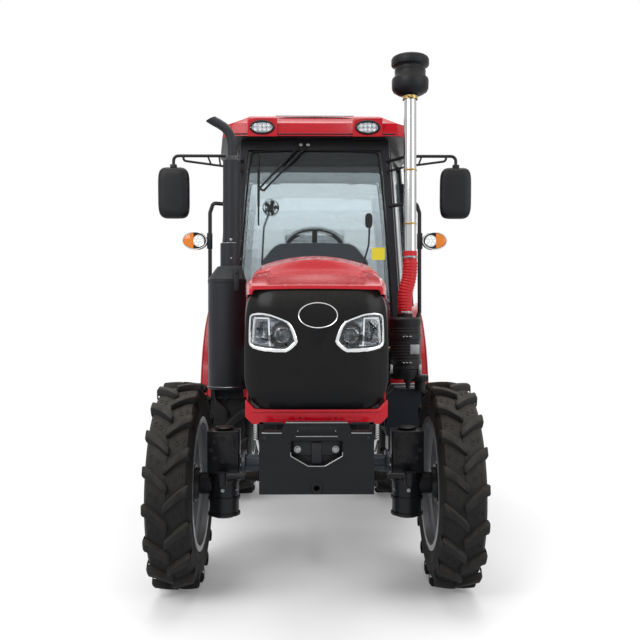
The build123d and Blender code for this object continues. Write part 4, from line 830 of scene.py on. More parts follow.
@dataclass
class Wheel:
    """One wheel: a bar-lug tyre, and the nuts and valve on its CAD rim."""

    end: str
    side: str
    radius: float
    width: float
    tread: float
    seat: float
    track: float
    y: float
    lugs: int
    lug_height: float
    disc_in: float
    nuts: int
    nut_circle: float
    phase: float
    flange: float = 0.020
    bead_share: float = 0.85

    @property
    def sign(self) -> int:
        """Return 1 on the driver's left and -1 on the right."""
        return SIDES[self.side]

    @property
    def centre(self) -> Point:
        """Return the wheel's middle."""
        return (self.sign * self.track / 2, self.y, self.radius)

    def crown(self, x: float) -> float:
        """Return the carcass's radius under the lugs at a place across the tread."""
        return self.radius - self.lug_height - 0.010 * (abs(x) / (self.tread / 2)) ** 2

    def carcass(self) -> bpy.types.Object:
        """Return the tyre's casing with its bead, ribbed sidewalls and low centre seam."""
        half, flat, bead = self.width / 2, self.tread / 2, self.width / 2 * self.bead_share
        height = self.radius - self.seat
        wall = [
            (self.seat, bead - 0.002), (self.seat + self.flange, bead - 0.001),
            (self.seat + self.flange + 0.004, bead + 0.006), (self.seat + self.flange + 0.014, half - 0.008),
            (self.seat + height * 0.36, half - 0.003), (self.seat + height * 0.365, half - 0.001),
            (self.seat + height * 0.40, half - 0.001), (self.seat + height * 0.405, half - 0.003),
            (self.seat + height * 0.52, half - 0.002), (self.seat + height * 0.66, half - 0.007),
            (self.crown(flat) - 0.020, flat - 0.001), (self.crown(flat), flat - 0.014),
            (self.crown(flat * 0.6), flat * 0.6), (self.crown(0.004) - 0.0005, 0.004),
            (self.crown(0) + 0.002, 0.0015),
        ]
        profile = wall + [(r, -x) for r, x in reversed(wall)]
        return lathe("carcass", profile, (0, 0, 0), "X", 120)

    def lug(self, way: int) -> bpy.types.Object:
        """Return one lug at the tyre's front, from past the middle out over the shoulder.

        Args:
            way: 1 for the lugs towards +X and -1 for the others.

        Returns:
            The lug, round the wheel's own middle.
        """
        flat = self.tread / 2
        sweep = 0.155
        top_half, base_more = 0.0175 * self.radius / FRONT_RADIUS, 0.009
        sections = []
        steps = [-0.10, 0.0, 0.12, 0.3, 0.5, 0.7, 0.86, 0.97]
        for share in steps:
            across = share * flat
            middle = -sweep * (1 - max(share, 0.0)) ** 1.35 + (share * 0.12 if share < 0 else 0)
            grow = 1 + 0.22 * max(share, 0.0)
            end = 0.7 if share == steps[0] else 1.0
            top = self.radius - 0.006 * max(share, 0.0) ** 2
            base = self.crown(across) - 0.004
            sections.append(self._cut(way * across, middle, top_half * grow * end, base_more, base,
                                      top - (1 - end) * 0.012))
        middle = 0.004
        for drop, out in ((0.010, 0.0045), (0.045, 0.0060), (0.070, 0.0020)):
            half = top_half * 1.2 - drop * 0.12
            x = way * (flat + out)
            top = self.radius - 0.006 - drop
            sections.append(self._cut(x, middle, half, 0.003, top - 0.006, top))
        inner = [self._cut(way * (flat - 0.016), middle, top_half, 0.002, self.crown(flat) - 0.07,
                           self.crown(flat) - 0.064)]
        thing = loft("lug", sections + inner, 25.0)
        return soften(thing, 0.0028, 1, 40.0)

    def _cut(self, x: float, middle: float, half: float, more: float, base: float, top: float) -> list[Point]:
        """Return one section across a lug: two low and two high points."""
        points = []
        for radius, offset in ((base, -half - more), (top, -half), (top, half), (base, half + more)):
            turn = middle + offset / self.radius
            points.append((x, -radius * math.cos(turn), radius * math.sin(turn)))
        return points

    def mark(self, way: int, share: float) -> bpy.types.Object:
        """Return a thin oval moulding that lies between two lugs."""
        x0, pitch = way * self.tread / 2 * share, 2 * math.pi / self.lugs
        turn0 = pitch * 0.5 - 0.155 * (1 - share) ** 1.35
        sections = []
        for i in range(14):
            a = 2 * math.pi * i / 14
            ring = []
            for size, lift in ((1.0, -0.002), (0.95, 0.0014), (0.72, 0.0014), (0.66, -0.002)):
                x = x0 + 0.0085 * size * math.cos(a)
                turn = turn0 + 0.0155 * size * math.sin(a) / self.radius
                radius = self.crown(x) + lift
                ring.append((x, -radius * math.cos(turn), radius * math.sin(turn)))
            sections.append(ring)
        return loft("mark", sections, 30.0, capped=False)

    def build(self) -> None:
        """Make the tyre and the rim's small parts, and dress the CAD rim."""
        pieces = [moved(self.carcass(), self.centre)]
        pitch = 360.0 / self.lugs
        for way in (1, -1):
            turn = Matrix.Rotation(math.radians(self.phase - (pitch / 2 if way < 0 else 0)), 4, "X")
            for item in (self.lug(way), self.mark(way, 0.42), self.mark(way, 0.66)):
                copies = Repeat("lugs", moved(item, turn), Skin.RUBBER)
                pieces.append(copies.round_axis(self.lugs, (1, 0, 0), self.centre))
        body = f"{self.end}_wheel_{self.side}"
        pieces = [dress(piece, Skin.RUBBER) for piece in pieces]
        finished(joined(f"tyre_{self.end}_{self.side}", pieces), body, stands_for=[f"{self.end}_tyre_{self.side}"])
        # The rim's silver is darkened as painted shade, for a rim that sits in the wheel's shadow.
        dress(frame["nodes"][f"{self.end}_rim_{self.side}"], Skin.SILVER)

        face = -self.sign * self.disc_in + self.sign * 0.0115
        nut = moved(bolt(0.013, 0.018, "X", self.sign), (face, 0, self.nut_circle))
        nuts = Repeat("nuts", nut, Skin.STEEL).round_axis(self.nuts, (1, 0, 0), self.centre)
        low = self.seat * 0.86
        stem = [(0, 0, low), (self.sign * 0.02, 0, low - 0.028), (self.sign * 0.05, 0, low - 0.03)]
        valve = dress(moved(tube("valve", stem, 0.0045), self.centre), Skin.STEEL)
        finished(joined(f"wheel_nuts_{self.end}_{self.side}", [nuts, valve]), body)


@dataclass
class Exhaust:
    """The upright muffler, its latch strap, shield pipe and slash-cut tip."""

    x: float = -0.489
    y: float = from_front(0.500)
    radius: float = 0.104
    low: float = 0.919
    band_low: float = 1.502
    cone_high: float = 1.600
    sleeve_x: float = -0.472
    sleeve_radius: float = 0.055
    sleeve_high: float = 1.726
    shield_x: float = -0.463
    shield_radius: float = 0.0495
    shield_high: float = 2.182
    tip_radius: float = 0.026

    def circle(self, x: float, radius: float, z: float, count: int = 56) -> list[Point]:
        """Return a level circle of points about the stack."""
        return [(x + radius * math.cos(2 * math.pi * i / count),
                 self.y + radius * math.sin(2 * math.pi * i / count), z)
                for i in range(count)]

    def canister(self) -> bpy.types.Object:
        """Return the can with its rolled seams, the sloping shoulder and the sleeve."""
        r = self.radius
        rows = [
            (self.x, r * 0.9, self.low), (self.x, r + 0.004, self.low + 0.001),
            (self.x, r + 0.004, self.low + 0.012),
            (self.x, r, self.low + 0.014), (self.x, r, self.band_low), (self.x, r + 0.003, self.band_low + 0.002),
            (self.x, r + 0.003, self.band_low + 0.022), (self.x, r - 0.001, self.band_low + 0.026),
            (self.sleeve_x - 0.004, self.sleeve_radius + 0.014, self.cone_high - 0.006),
            (self.sleeve_x, self.sleeve_radius, self.cone_high),
            (self.sleeve_x, self.sleeve_radius, self.sleeve_high - 0.004),
            (self.sleeve_x, self.sleeve_radius - 0.004, self.sleeve_high),
        ]
        return loft("canister", [self.circle(*row) for row in rows], 28.0)

    def shield(self) -> bpy.types.Object:
        """Return the plain heat shield with its rolled top."""
        x, r = self.shield_x, self.shield_radius
        rows = [
            (x, r, self.sleeve_high - 0.01), (x, r, self.shield_high), (x, r - 0.002, self.shield_high + 0.003),
            (x, self.tip_radius + 0.006, self.shield_high + 0.026),
            (x, self.tip_radius + 0.002, self.shield_high + 0.030),
        ]
        return loft("shield", [self.circle(*row) for row in rows], 30.0)

    def tip(self) -> bpy.types.Object:
        """Return the bent end pipe, open and cut on the slant."""
        route = [(-0.461, 2.16), (-0.461, 2.21), (-0.462, 2.262), (-0.466, 2.302), (-0.479, 2.340), (-0.504, 2.370),
                 (-0.534, 2.390), (-0.560, 2.4035), (-0.580, 2.416)]
        count, sections = 28, []
        for k, (x, z) in enumerate(route):
            before, after = route[max(k - 1, 0)], route[min(k + 1, len(route) - 1)]
            run = Vector((after[0] - before[0], 0, after[1] - before[1])).normalized()
            up = Vector((-run.z, 0, run.x))
            ring = []
            for i in range(count):
                a = 2 * math.pi * i / count
                slant = 0.016 * math.cos(a) if k == len(route) - 1 else 0
                off = up * (-self.tip_radius * math.cos(a)) + Vector((0, self.tip_radius * math.sin(a),
                    0)) - run * slant
                ring.append((x + off.x, self.y + off.y, z + off.z))
            sections.append(ring)
        result = walled(loft("tip", sections, 50.0, capped=False, looped=False), 0.0028)
        shade(result.data, 50.0)
        return result

    def build(self) -> None:
        """Make the stack, its strap, screws and bracket."""
        pieces = [self.canister(), self.shield(), self.tip()]
        front = self.y - self.radius - 0.004
        latch_x = self.x + 0.060
        depth = math.sqrt(self.radius ** 2 - 0.06 ** 2)
        pieces.append(slab("latch", (latch_x - 0.014, self.y - depth - 0.012, 1.458),
                           (latch_x + 0.014, self.y - depth, 1.585)))
        pieces.append(tube("latch_knob", [(latch_x, self.y - depth - 0.006, 1.560),
            (latch_x, self.y - depth - 0.026, 1.562)], 0.009))
        bracket = [(-0.578, 0.870), (-0.400, 0.870), (-0.400, 0.919), (-0.578, 0.919)]
        pieces.append(prism("bracket", bracket, "Y", self.y - 0.03, self.y + 0.03, 0.003))
        pieces.append(prism("bracket_rib", [(front + 0.02, 0.919), (self.y, 0.919), (self.y, 0.84)], "X", -0.560,
                            -0.552))
        pieces.append(slab("arm", (-0.489, self.y - 0.025, 0.939), (-0.118, self.y + 0.025, 0.979)))
        pieces.append(slab("foot", (-0.158, from_front(0.21), 0.939), (-0.118, self.y + 0.025, 0.979)))
        pieces = [dress(piece, Skin.HEAT) for piece in pieces]
        for x, r, z in ((self.sleeve_x, self.sleeve_radius - 0.001, self.sleeve_high - 0.002),
                        (self.x, self.radius + 0.0025, self.low + 0.015)):
            seam = lathe("seam", [(r, -0.0018), (r + 0.0016, 0), (r, 0.0018)], (x, self.y, z))
            pieces.append(dress(seam, Skin.STEEL))
        for z in (1.742, 1.64):
            screw = moved(bolt(0.006, 0.005), (0, -self.shield_radius, 0))
            screws = Repeat("screws", screw, Skin.STEEL).round_axis(3, (0, 0, 1), (self.shield_x, self.y, z))
            pieces.append(screws)
        finished(joined("exhaust_stack", pieces), "chassis", stands_for=["muffler"])


@dataclass
class Intake:
    """The air filter, its ribbed hose, the bright pipe with clamps, and the pre-cleaner."""

    x: float = 0.552
    y: float = from_front(0.690)
    pipe_radius: float = 0.0365
    pipe_low: float = 1.672
    pipe_high: float = 2.580
    filter_x: float = 0.522
    filter_radius: float = 0.093
    filter_low: float = 0.960
    filter_high: float = 1.316
    hose_radius: float = 0.040

    def hose(self) -> bpy.types.Object:
        """Return the hose: Geometry Nodes sweep a circle whose size follows the ribs."""
        route = [(self.filter_x, 1.30), (self.filter_x, 1.36), (self.filter_x, 1.42), (self.filter_x + 0.004, 1.47),
                 (self.x - 0.006, 1.54), (self.x, 1.60), (self.x, 1.65), (self.x, 1.70)]
        path = new_object("hose_path", curved("hose_path", in_plane(route, self.y)))
        tree, given, ids = open_tree("ribbed_hose", {
            "Path": "Object", "Radius": "Float", "Pitch": "Float", "Rise": "Float", "Cuff": "Float",
            "Finish": "Material"})
        line = add_node(tree, "GeometryNodeObjectInfo", {"Object": given["Path"]}).outputs["Geometry"]
        fine = add_node(tree, "GeometryNodeResampleCurve", {"Curve": line, "Count": 150})
        along = add_node(tree, "GeometryNodeSplineParameter").outputs["Length"]
        turns = calculated(tree, "DIVIDE", along, given["Pitch"])
        wave = calculated(tree, "PINGPONG", turns, 1.0)
        past = calculated(tree, "GREATER_THAN", along, given["Cuff"])
        size = add_node(tree, "GeometryNodeSplineLength").outputs["Length"]
        left = calculated(tree, "SUBTRACT", size, along)
        before = calculated(tree, "GREATER_THAN", left, given["Cuff"])
        ribbed = calculated(tree, "MULTIPLY", past, before)
        rise = calculated(tree, "MULTIPLY", wave, given["Rise"])
        rise = calculated(tree, "MULTIPLY", rise, ribbed)
        radius = calculated(tree, "ADD", given["Radius"], rise)
        sized = add_node(tree, "GeometryNodeSetCurveRadius", {"Curve": fine.outputs[0], "Radius": radius})
        circle = add_node(tree, "GeometryNodeCurvePrimitiveCircle", {"Resolution": 40, "Radius": 1.0})
        links = {"Curve": sized.outputs[0], "Profile Curve": circle.outputs[0], "Fill Caps": True}
        skin = add_node(tree, "GeometryNodeCurveToMesh", links)
        if "Scale" in skin.inputs:
            tree.links.new(radius, skin.inputs["Scale"])
        done = add_node(tree, "GeometryNodeSetMaterial", {"Geometry": skin.outputs[0], "Material": given["Finish"]})
        add_node(tree, "NodeGroupOutput", {"Geometry": done.outputs[0]})
        result = from_tree("hose", tree, ids, {
            "Path": path, "Radius": self.hose_radius, "Pitch": 0.0085, "Rise": 0.0045, "Cuff": 0.062,
            "Finish": Skin.HOSE.value.build()})
        bpy.data.objects.remove(path)
        shade(result.data, 60.0)
        return result

    def clamp(self, x: float, z: float, radius: float, tall: float = 0.012) -> bpy.types.Object:
        """Return a worm-drive clamp round a pipe, with its screw housing at the front left."""
        band = lathe("band", [(radius, -tall / 2), (radius + 0.0014, -tall / 2), (radius + 0.0014, tall / 2),
                              (radius, tall / 2)], (x, self.y, z))
        house = slab("house", (x - 0.012, self.y - radius - 0.013, z - tall * 0.45),
                     (x + 0.016, self.y - radius, z + tall * 0.45))
        screw = tube("screw", [(x - 0.026, self.y - radius - 0.007, z), (x - 0.012, self.y - radius - 0.007, z)],
                     0.0045)
        return joined("clamp", [band, house, screw])

    def filter_can(self) -> list[bpy.types.Object]:
        """Return the filter's ribbed can with straps, end caps, latches and dust valve."""
        r, low, high = self.filter_radius, self.filter_low, self.filter_high
        place = (self.filter_x, self.y, 0)
        profile = [(0, low), (r * 0.84, low), (r * 0.93, low + 0.012), (r * 0.95, low + 0.055),
                   (r * 1.0, low + 0.06), (r * 1.0, low + 0.072)]
        z = low + 0.080
        while z < high - 0.05:
            profile += [(r * 0.965, z), (r * 0.965, z + 0.007), (r * 0.985, z + 0.009), (r * 0.985, z + 0.014)]
            z += 0.0165
        profile += [(r * 1.0, high - 0.04), (r * 1.0, high - 0.012), (r * 0.9, high), (0.046, high),
                    (0.046, high + 0.02), (0, high + 0.02)]
        body = lathe("can", profile, place, segments=72)
        duct = tube("duct", [(self.filter_x, self.y, low + 0.16), (0.231, self.y, low + 0.16),
                             (0.231, from_front(0.27), low + 0.16), (0.118, from_front(0.27), low + 0.16)], 0.03)
        shelf = slab("shelf", (0.13, self.y - 0.02, low + 0.04), (self.filter_x, self.y + 0.02, low + 0.06))
        leg = slab("leg", (0.13, self.y - 0.02, 0.85), (0.17, self.y + 0.02, low + 0.06))
        plastic = [dress(thing, Skin.PLASTIC) for thing in (body, duct, shelf, leg)]
        metal = []
        for z in (1.2055, 1.057):
            metal.append(dress(lathe("strap", [(r, -0.013), (r + 0.003, -0.013), (r + 0.003, 0.013), (r, 0.013)],
                                     (self.filter_x, self.y, z)), Skin.BLACK))
            for name, x in (("ear", -0.012), ("ear_two", 0.006)):
                low_corner = (self.filter_x + x, self.y - r - 0.022, z - 0.012)
                metal.append(dress(slab(name, low_corner, (self.filter_x + x + 0.006, self.y - r, z + 0.012)),
                                   Skin.BLACK))
            pin = tube("pin", [(self.filter_x + x, self.y - r - 0.012, z) for x in (-0.024, 0.026)], 0.0042)
            metal.append(dress(pin, Skin.STEEL))
        for turn in (-1.05, 0.95, 2.6):
            c, s = math.sin(turn), -math.cos(turn)
            spot = (self.filter_x + (r + 0.004) * c, self.y + (r + 0.004) * s)
            clip = slab("clip", (spot[0] - 0.009, spot[1] - 0.006, low + 0.030),
                        (spot[0] + 0.009, spot[1] + 0.006, low + 0.085), 0.003)
            metal.append(dress(clip, Skin.STEEL))
        label = slab("blank_plate", (self.filter_x + 0.020, self.y - r + 0.0025, 1.105),
                     (self.filter_x + 0.072, self.y - r * 0.60, 1.160), 0.001)
        metal.append(dress(label, Skin.SILVER))
        valve = lathe("dust_valve", [(0, -0.055), (0.010, -0.052), (0.016, -0.02), (0.021, -0.018), (0.024, 0.0),
                                     (0.018, 0.012), (0, 0.012)],
                      (self.filter_x + 0.01, self.y - 0.05, low))
        return plastic + metal + [dress(valve, Skin.RUBBER)]

    def bowl(self) -> bpy.types.Object:
        """Return the pre-cleaner: collar, bowl, waist and finned cap."""
        base = self.pipe_high
        profile = [
            (0, base), (self.pipe_radius + 0.004, base), (self.pipe_radius + 0.006, base + 0.022),
            (0.072, base + 0.030),
            (0.098, base + 0.046), (0.106, base + 0.062), (0.1075, base + 0.108), (0.104, base + 0.120),
            (0.094, base + 0.128),
            (0.091, base + 0.135), (0.089, base + 0.158), (0.0905, base + 0.160), (0.0905, base + 0.163),
            (0.089, base + 0.165),
            (0.088, base + 0.182), (0.094, base + 0.188), (0.106, base + 0.194), (0.1085, base + 0.206),
            (0.1085, base + 0.226),
            (0.104, base + 0.240), (0.094, base + 0.247), (0.070, base + 0.251), (0, base + 0.253),
        ]
        body = lathe("bowl", profile, (self.x, self.y, 0), segments=80)
        fin = slab("fin", (0.098, -0.0035, base + 0.198), (0.1096, 0.0035, base + 0.232), 0.0015)
        fins = Repeat("fins", fin, Skin.PLASTIC).round_axis(30, (0, 0, 1), (self.x, self.y, 0))
        return joined("bowl_whole", [body, fins])

    def build(self) -> None:
        """Make and dress the whole intake."""
        finished(self.hose(), "chassis", stands_for=["intake_hose"])
        r = self.pipe_radius
        pipe = lathe("intake_tube", [(0, self.pipe_low), (r, self.pipe_low), (r, self.pipe_high),
                                     (0, self.pipe_high)], (self.x, self.y, 0), segments=64)
        finished(pipe, "chassis", Skin.STAINLESS, ["intake_pipe"])
        clamps = [self.clamp(self.x, z, r + 0.0004) for z in (2.169, 1.858)]
        clamps.append(self.clamp(self.x, 2.588, r + 0.0065, 0.018))
        clamps.append(self.clamp(self.filter_x - 0.10, 1.14, 0.010))
        clamps = [dress(item, Skin.ZINC) for item in clamps]
        for x, z in ((self.x, 1.664), (self.filter_x, 1.345)):
            clamps.append(dress(self.clamp(x, z, self.hose_radius + 0.001), Skin.STEEL))
        finished(joined("intake_clamps", clamps), "chassis")
        finished(joined("filter_assembly", self.filter_can()), "chassis", stands_for=["air_filter"])
        finished(self.bowl(), "chassis", Skin.PLASTIC, ["precleaner"])


# The left headlamp's outer edge, seen from the front: (across, height).
LAMP_LINE = (
    (0.0726, 1.2144), (0.0785, 1.2360), (0.0869, 1.2590), (0.0975, 1.2790), (0.1131, 1.2956), (0.1320, 1.3055),
    (0.1536, 1.3140),
    (0.1800, 1.3235), (0.2044, 1.3290), (0.2350, 1.3300), (0.2580, 1.3265), (0.2680, 1.3190), (0.2715, 1.3060),
    (0.2740, 1.2600),
    (0.2750, 1.2110), (0.2700, 1.1950), (0.2549, 1.1845), (0.2300, 1.1780), (0.2044, 1.1740), (0.1600, 1.1705),
    (0.1200, 1.1700),
    (0.1050, 1.1780), (0.0929, 1.1881), (0.0800, 1.2010))


@dataclass
class Nose:
    """The black moulded nose, its oval ring, and the red hood over it."""

    front: float = from_front(-0.760)
    back: float = from_front(-0.560)
    hood_back: float = from_front(1.020)
    half: float = 0.286
    low: float = 0.950
    top: float = 1.404
    back_half: float = 0.293
    hood_high: float = 1.690
    hood_low: float = 1.230

    def face_y(self, x: float, z: float) -> float:
        """Return Y of the nose's surface at a place seen from the front."""
        side = max(0.0, abs(x) - 0.140) / 0.145
        over = max(0.0, z - 1.330) / 0.09
        under = max(0.0, 1.010 - z) / 0.07
        return self.front + 0.062 * side ** 2.6 + 0.026 * over ** 2 + 0.018 * under ** 2

    def ring(self, share: float) -> list[Flat]:
        """Return the nose's front outline drawn in to a share of its size."""
        middle = (self.low + self.top) / 2 + 0.006
        tall = (self.top - self.low) / 2 + 0.014
        outline = oval((0, 0), 1.0, 1.0, 88, 7.0)
        points = []
        for u, v in outline:
            wide = self.half * (1 - 0.060 * max(0.0, v) ** 1.5 - 0.10 * max(0.0, -v - 0.55) / 0.45)
            lift = 0.010 * abs(u) ** 3 if v > 0 else 0.0
            points.append((u * wide * share, middle + (v * tall + lift) * share))
        return points

    def shell(self) -> bpy.types.Object:
        """Return the nose: its pillowed face and the sides back to the hood."""
        sections = []
        for share in (0.08, 0.3, 0.5, 0.66, 0.78, 0.86, 0.92, 0.965, 0.99, 1.0):
            sections.append([(x, self.face_y(x, z), z) for x, z in self.ring(share)])
        edge = self.ring(1.0)
        for step in (0.12, 0.3, 0.55, 0.8, 1.0):
            row = []
            for x, z in edge:
                y = self.face_y(x, z)
                grow = 1 + (self.back_half / self.half - 1 + 0.05 * max(0.0, (z - 1.2) / 0.2)) * step
                row.append((max(-self.back_half, min(self.back_half, x * grow)), y + (self.back - y) * step, z))
            sections.append(row)
        count = len(edge)
        points = [p for section in sections for p in section]
        faces = [tuple(range(count))] + band_faces(len(sections), count, False)
        build = bpy.data.meshes.new("nose")
        build.from_pydata(points, [], faces)
        if build.polygons[0].normal.y > 0:
            build.flip_normals()
        result = walled(new_object("nose", build), 0.006)
        tidy(result.data)
        return self.opened(result)

    def opened(self, shell: bpy.types.Object) -> bpy.types.Object:
        """Cut the two lamp openings through the nose's face."""
        for side in SIDES.values():
            line = [(side * x, z) for x, z in LAMP_LINE]
            cutter = prism("lamp_cutter", line, "Y", self.front - 0.03, self.front + 0.12)
            shell = cut_by(shell, cutter)
        shade(shell.data, 40.0)
        return shell

    def hood_section(self, y: float, half: float, low: float, side: float, crown: float,
                     corner: float) -> list[Point]:
        """Return one closed section across the hood's skin.

        Args:
            y: its place.
            half: half the width.
            low: the lower edge.
            side: where the shoulder starts.
            crown: the top at the middle.
            corner: the shoulder's size.

        Returns:
            The outer line and then the inner one, back to the start.
        """
        outer: list[Flat] = [(-half, low), (-half, (low + side) / 2), (-half, side)]
        for i in range(1, 8):
            a = math.radians(90 * i / 8)
            outer.append((-half + corner * (1 - math.cos(a)), side + corner * math.sin(a)))
        rim = side + corner
        flat = half - corner
        wide, depth = self.scoop(y)
        rights = [0.0, wide * 0.35, wide * 0.7, wide, wide + 0.012, (wide + 0.012 + flat) / 2, flat]
        for x in [-x for x in reversed(rights[1:])] + rights:
            sunk = depth if abs(x) <= wide else 0.0
            outer.append((x, rim + (crown - rim) * (1 - (x / flat) ** 2) - sunk))
        outer += [(-x, z) for x, z in reversed(outer[:10])]
        inner = [(x * (1 - 0.006 / half), z - 0.005 if z > side else z) for x, z in reversed(outer)]
        return [(x, y, z) for x, z in outer + inner]

    def scoop(self, y: float) -> Flat:
        """Return half the width and the depth of the sunk top panel at a place."""
        back = y - self.front
        steps = ((0.028, 0.0), (0.055, 0.008), (0.30, 0.014), (0.475, 0.014), (0.505, 0.0))
        depth = 0.0
        for (b0, d0), (b1, d1) in zip(steps, steps[1:]):
            if b0 <= back <= b1:
                depth = d0 + (d1 - d0) * (back - b0) / (b1 - b0)
        return 0.190 + 0.010 * min(back / 0.5, 1.0), depth

    def step_up(self, y: float) -> float:
        """Return how far the hood behind the sunk panel stands above the plain slope."""
        back = y - self.front
        rise = max(0.0, min(1.0, (back - 0.475) / 0.032))
        return 0.028 * rise * (1 - max(0.0, back - 0.507) / 1.3)

    def hood(self) -> bpy.types.Object:
        """Return the red hood: the front lip, the sunk top panel and the long sides."""
        y0, y1, y2 = self.front + 0.012, self.back, self.hood_back
        rows = [
            (y0, 0.262, 1.402, 1.412, 1.430, 0.014), (y0 + 0.004, 0.268, 1.402, 1.420, 1.4385, 0.016),
            (y0 + 0.016, 0.271, 1.402, 1.422, 1.4430, 0.018), (y0 + 0.045, 0.279, 1.402, 1.427, 1.4550, 0.023),
            (y0 + 0.12, 0.289, 1.402, 1.434, 1.482, 0.034),
            (y1, 0.2935, 1.402, 1.440, 1.505, 0.042),
        ]
        front = loft("hood_front", [self.hood_section(*row) for row in rows], 32.0)
        rows = []
        steps = (0.0, 0.065, 0.12, 0.1735, 0.1775, 0.184, 0.190, 0.1945, 0.199, 0.30, 0.4, 0.55, 0.7, 0.85, 1.0)
        for step in steps:
            y = y1 + (y2 - y1) * step
            high = 1.505 + (self.hood_high - 1.505) * (step + 0.10 * math.sin(math.pi * step)) + self.step_up(y)
            low = self.low + (self.hood_low - self.low) * step
            rows.append((y, 0.2935, low, high - 0.074 - self.step_up(y) * 0.6, high, 0.042))
        rear = self.vented(loft("hood_rear", [self.hood_section(*row) for row in rows], 32.0))
        return joined("hood_skin", [front, rear])

    def emblem(self) -> list[bpy.types.Object]:
        """Return the bare oval with its chrome ring."""
        centre = (0.006, 1.3187)
        plate_line = oval(centre, 0.073, 0.046, 64)
        y = self.front
        plate = dress(prism("oval_plate", plate_line, "Y", y - 0.004, y + 0.006, 0.001), Skin.NOSE)
        rows = []
        for wide, out in ((0.0815, 0.004), (0.0810, -0.006), (0.0785, -0.0095), (0.0755, -0.0085), (0.0735, -0.003),
                          (0.0735, 0.004)):
            tall = wide - 0.0275
            rows.append(in_plane(oval(centre, wide, tall, 64), y + out))
        ring = dress(loft("oval_ring", rows, 60.0, capped=False), Skin.CHROME)
        return [plate, ring]

    def vent_line(self, grow: float) -> list[Flat]:
        """Return the slanting vent's outline in a hood side, as (Y, height), grown or shrunk."""
        y0, y1, z0, z1 = self.back + 0.13, self.back + 0.50, 1.112, 1.375
        return [(y0 - grow, z0 - grow), (y1 + grow, z0 - grow), (y1 + 0.120 + grow, z1 + grow),
                (y0 + 0.072 - grow, z1 + grow)]

    def vented(self, skin: bpy.types.Object) -> bpy.types.Object:
        """Cut the vents through both sides of the hood's skin."""
        cutter = prism("vent_cutter", self.vent_line(0.0), "X", -0.4, 0.4)
        result = cut_by(skin, cutter)
        shade(result.data, 32.0)
        return result

    def side_trim(self) -> list[bpy.types.Object]:
        """Return the louvres in the vents, their raised frames and the dark mesh behind."""
        pieces = []
        for side in SIDES.values():
            skin = side * self.back_half
            slant = [(skin - side * 0.013, 0.0), (skin - side * 0.013, 0.005), (skin - side * 0.001, -0.009),
                     (skin - side * 0.001, -0.014)]
            item = prism("blade", slant, "Y", 0.0, 0.42, 0.001)
            rows = Repeat("louvres", item, Skin.PLASTIC).in_row(7, (0, 0.0137, 0.0376),
                (0, self.back + 0.124, 1.138))
            low, high = sorted((skin - side * 0.002, skin + side * 0.0025))
            frame_rows = [[(x, y, z) for y, z in self.vent_line(grow)]
                          for x, grow in ((low, 0.010), (high, 0.010), (high, 0.0), (low, 0.0))]
            rim = loft("louvre_frame", frame_rows, 30.0, capped=False)
            behind = sorted((skin - side * 0.020, skin - side * 0.022))
            mesh = prism("vent_mesh", self.vent_line(0.012), "X", *behind)
            pieces += [dress(rows, Skin.PLASTIC), dress(rim, Skin.PLASTIC), dress(mesh, Skin.NOSE)]
        return pieces

    def build(self) -> None:
        """Make the nose and hood and dress them."""
        trim = self.emblem()
        finished(joined("nose_shell", [dress(self.shell(), Skin.NOSE)] + trim), "hood", stands_for=["nose_panel"])
        skin = dress(self.hood(), Skin.RED)
        ears = [dress(slab("ear", (x - 0.02, self.hood_back - 0.043, 1.615),
                           (x + 0.02, self.hood_back - 0.007, 1.668)), Skin.BLACK)
                for x in (-0.12, 0.12)]
        finished(joined("hood_shell", [skin] + ears + self.side_trim()), "hood", stands_for=["hood_top"])


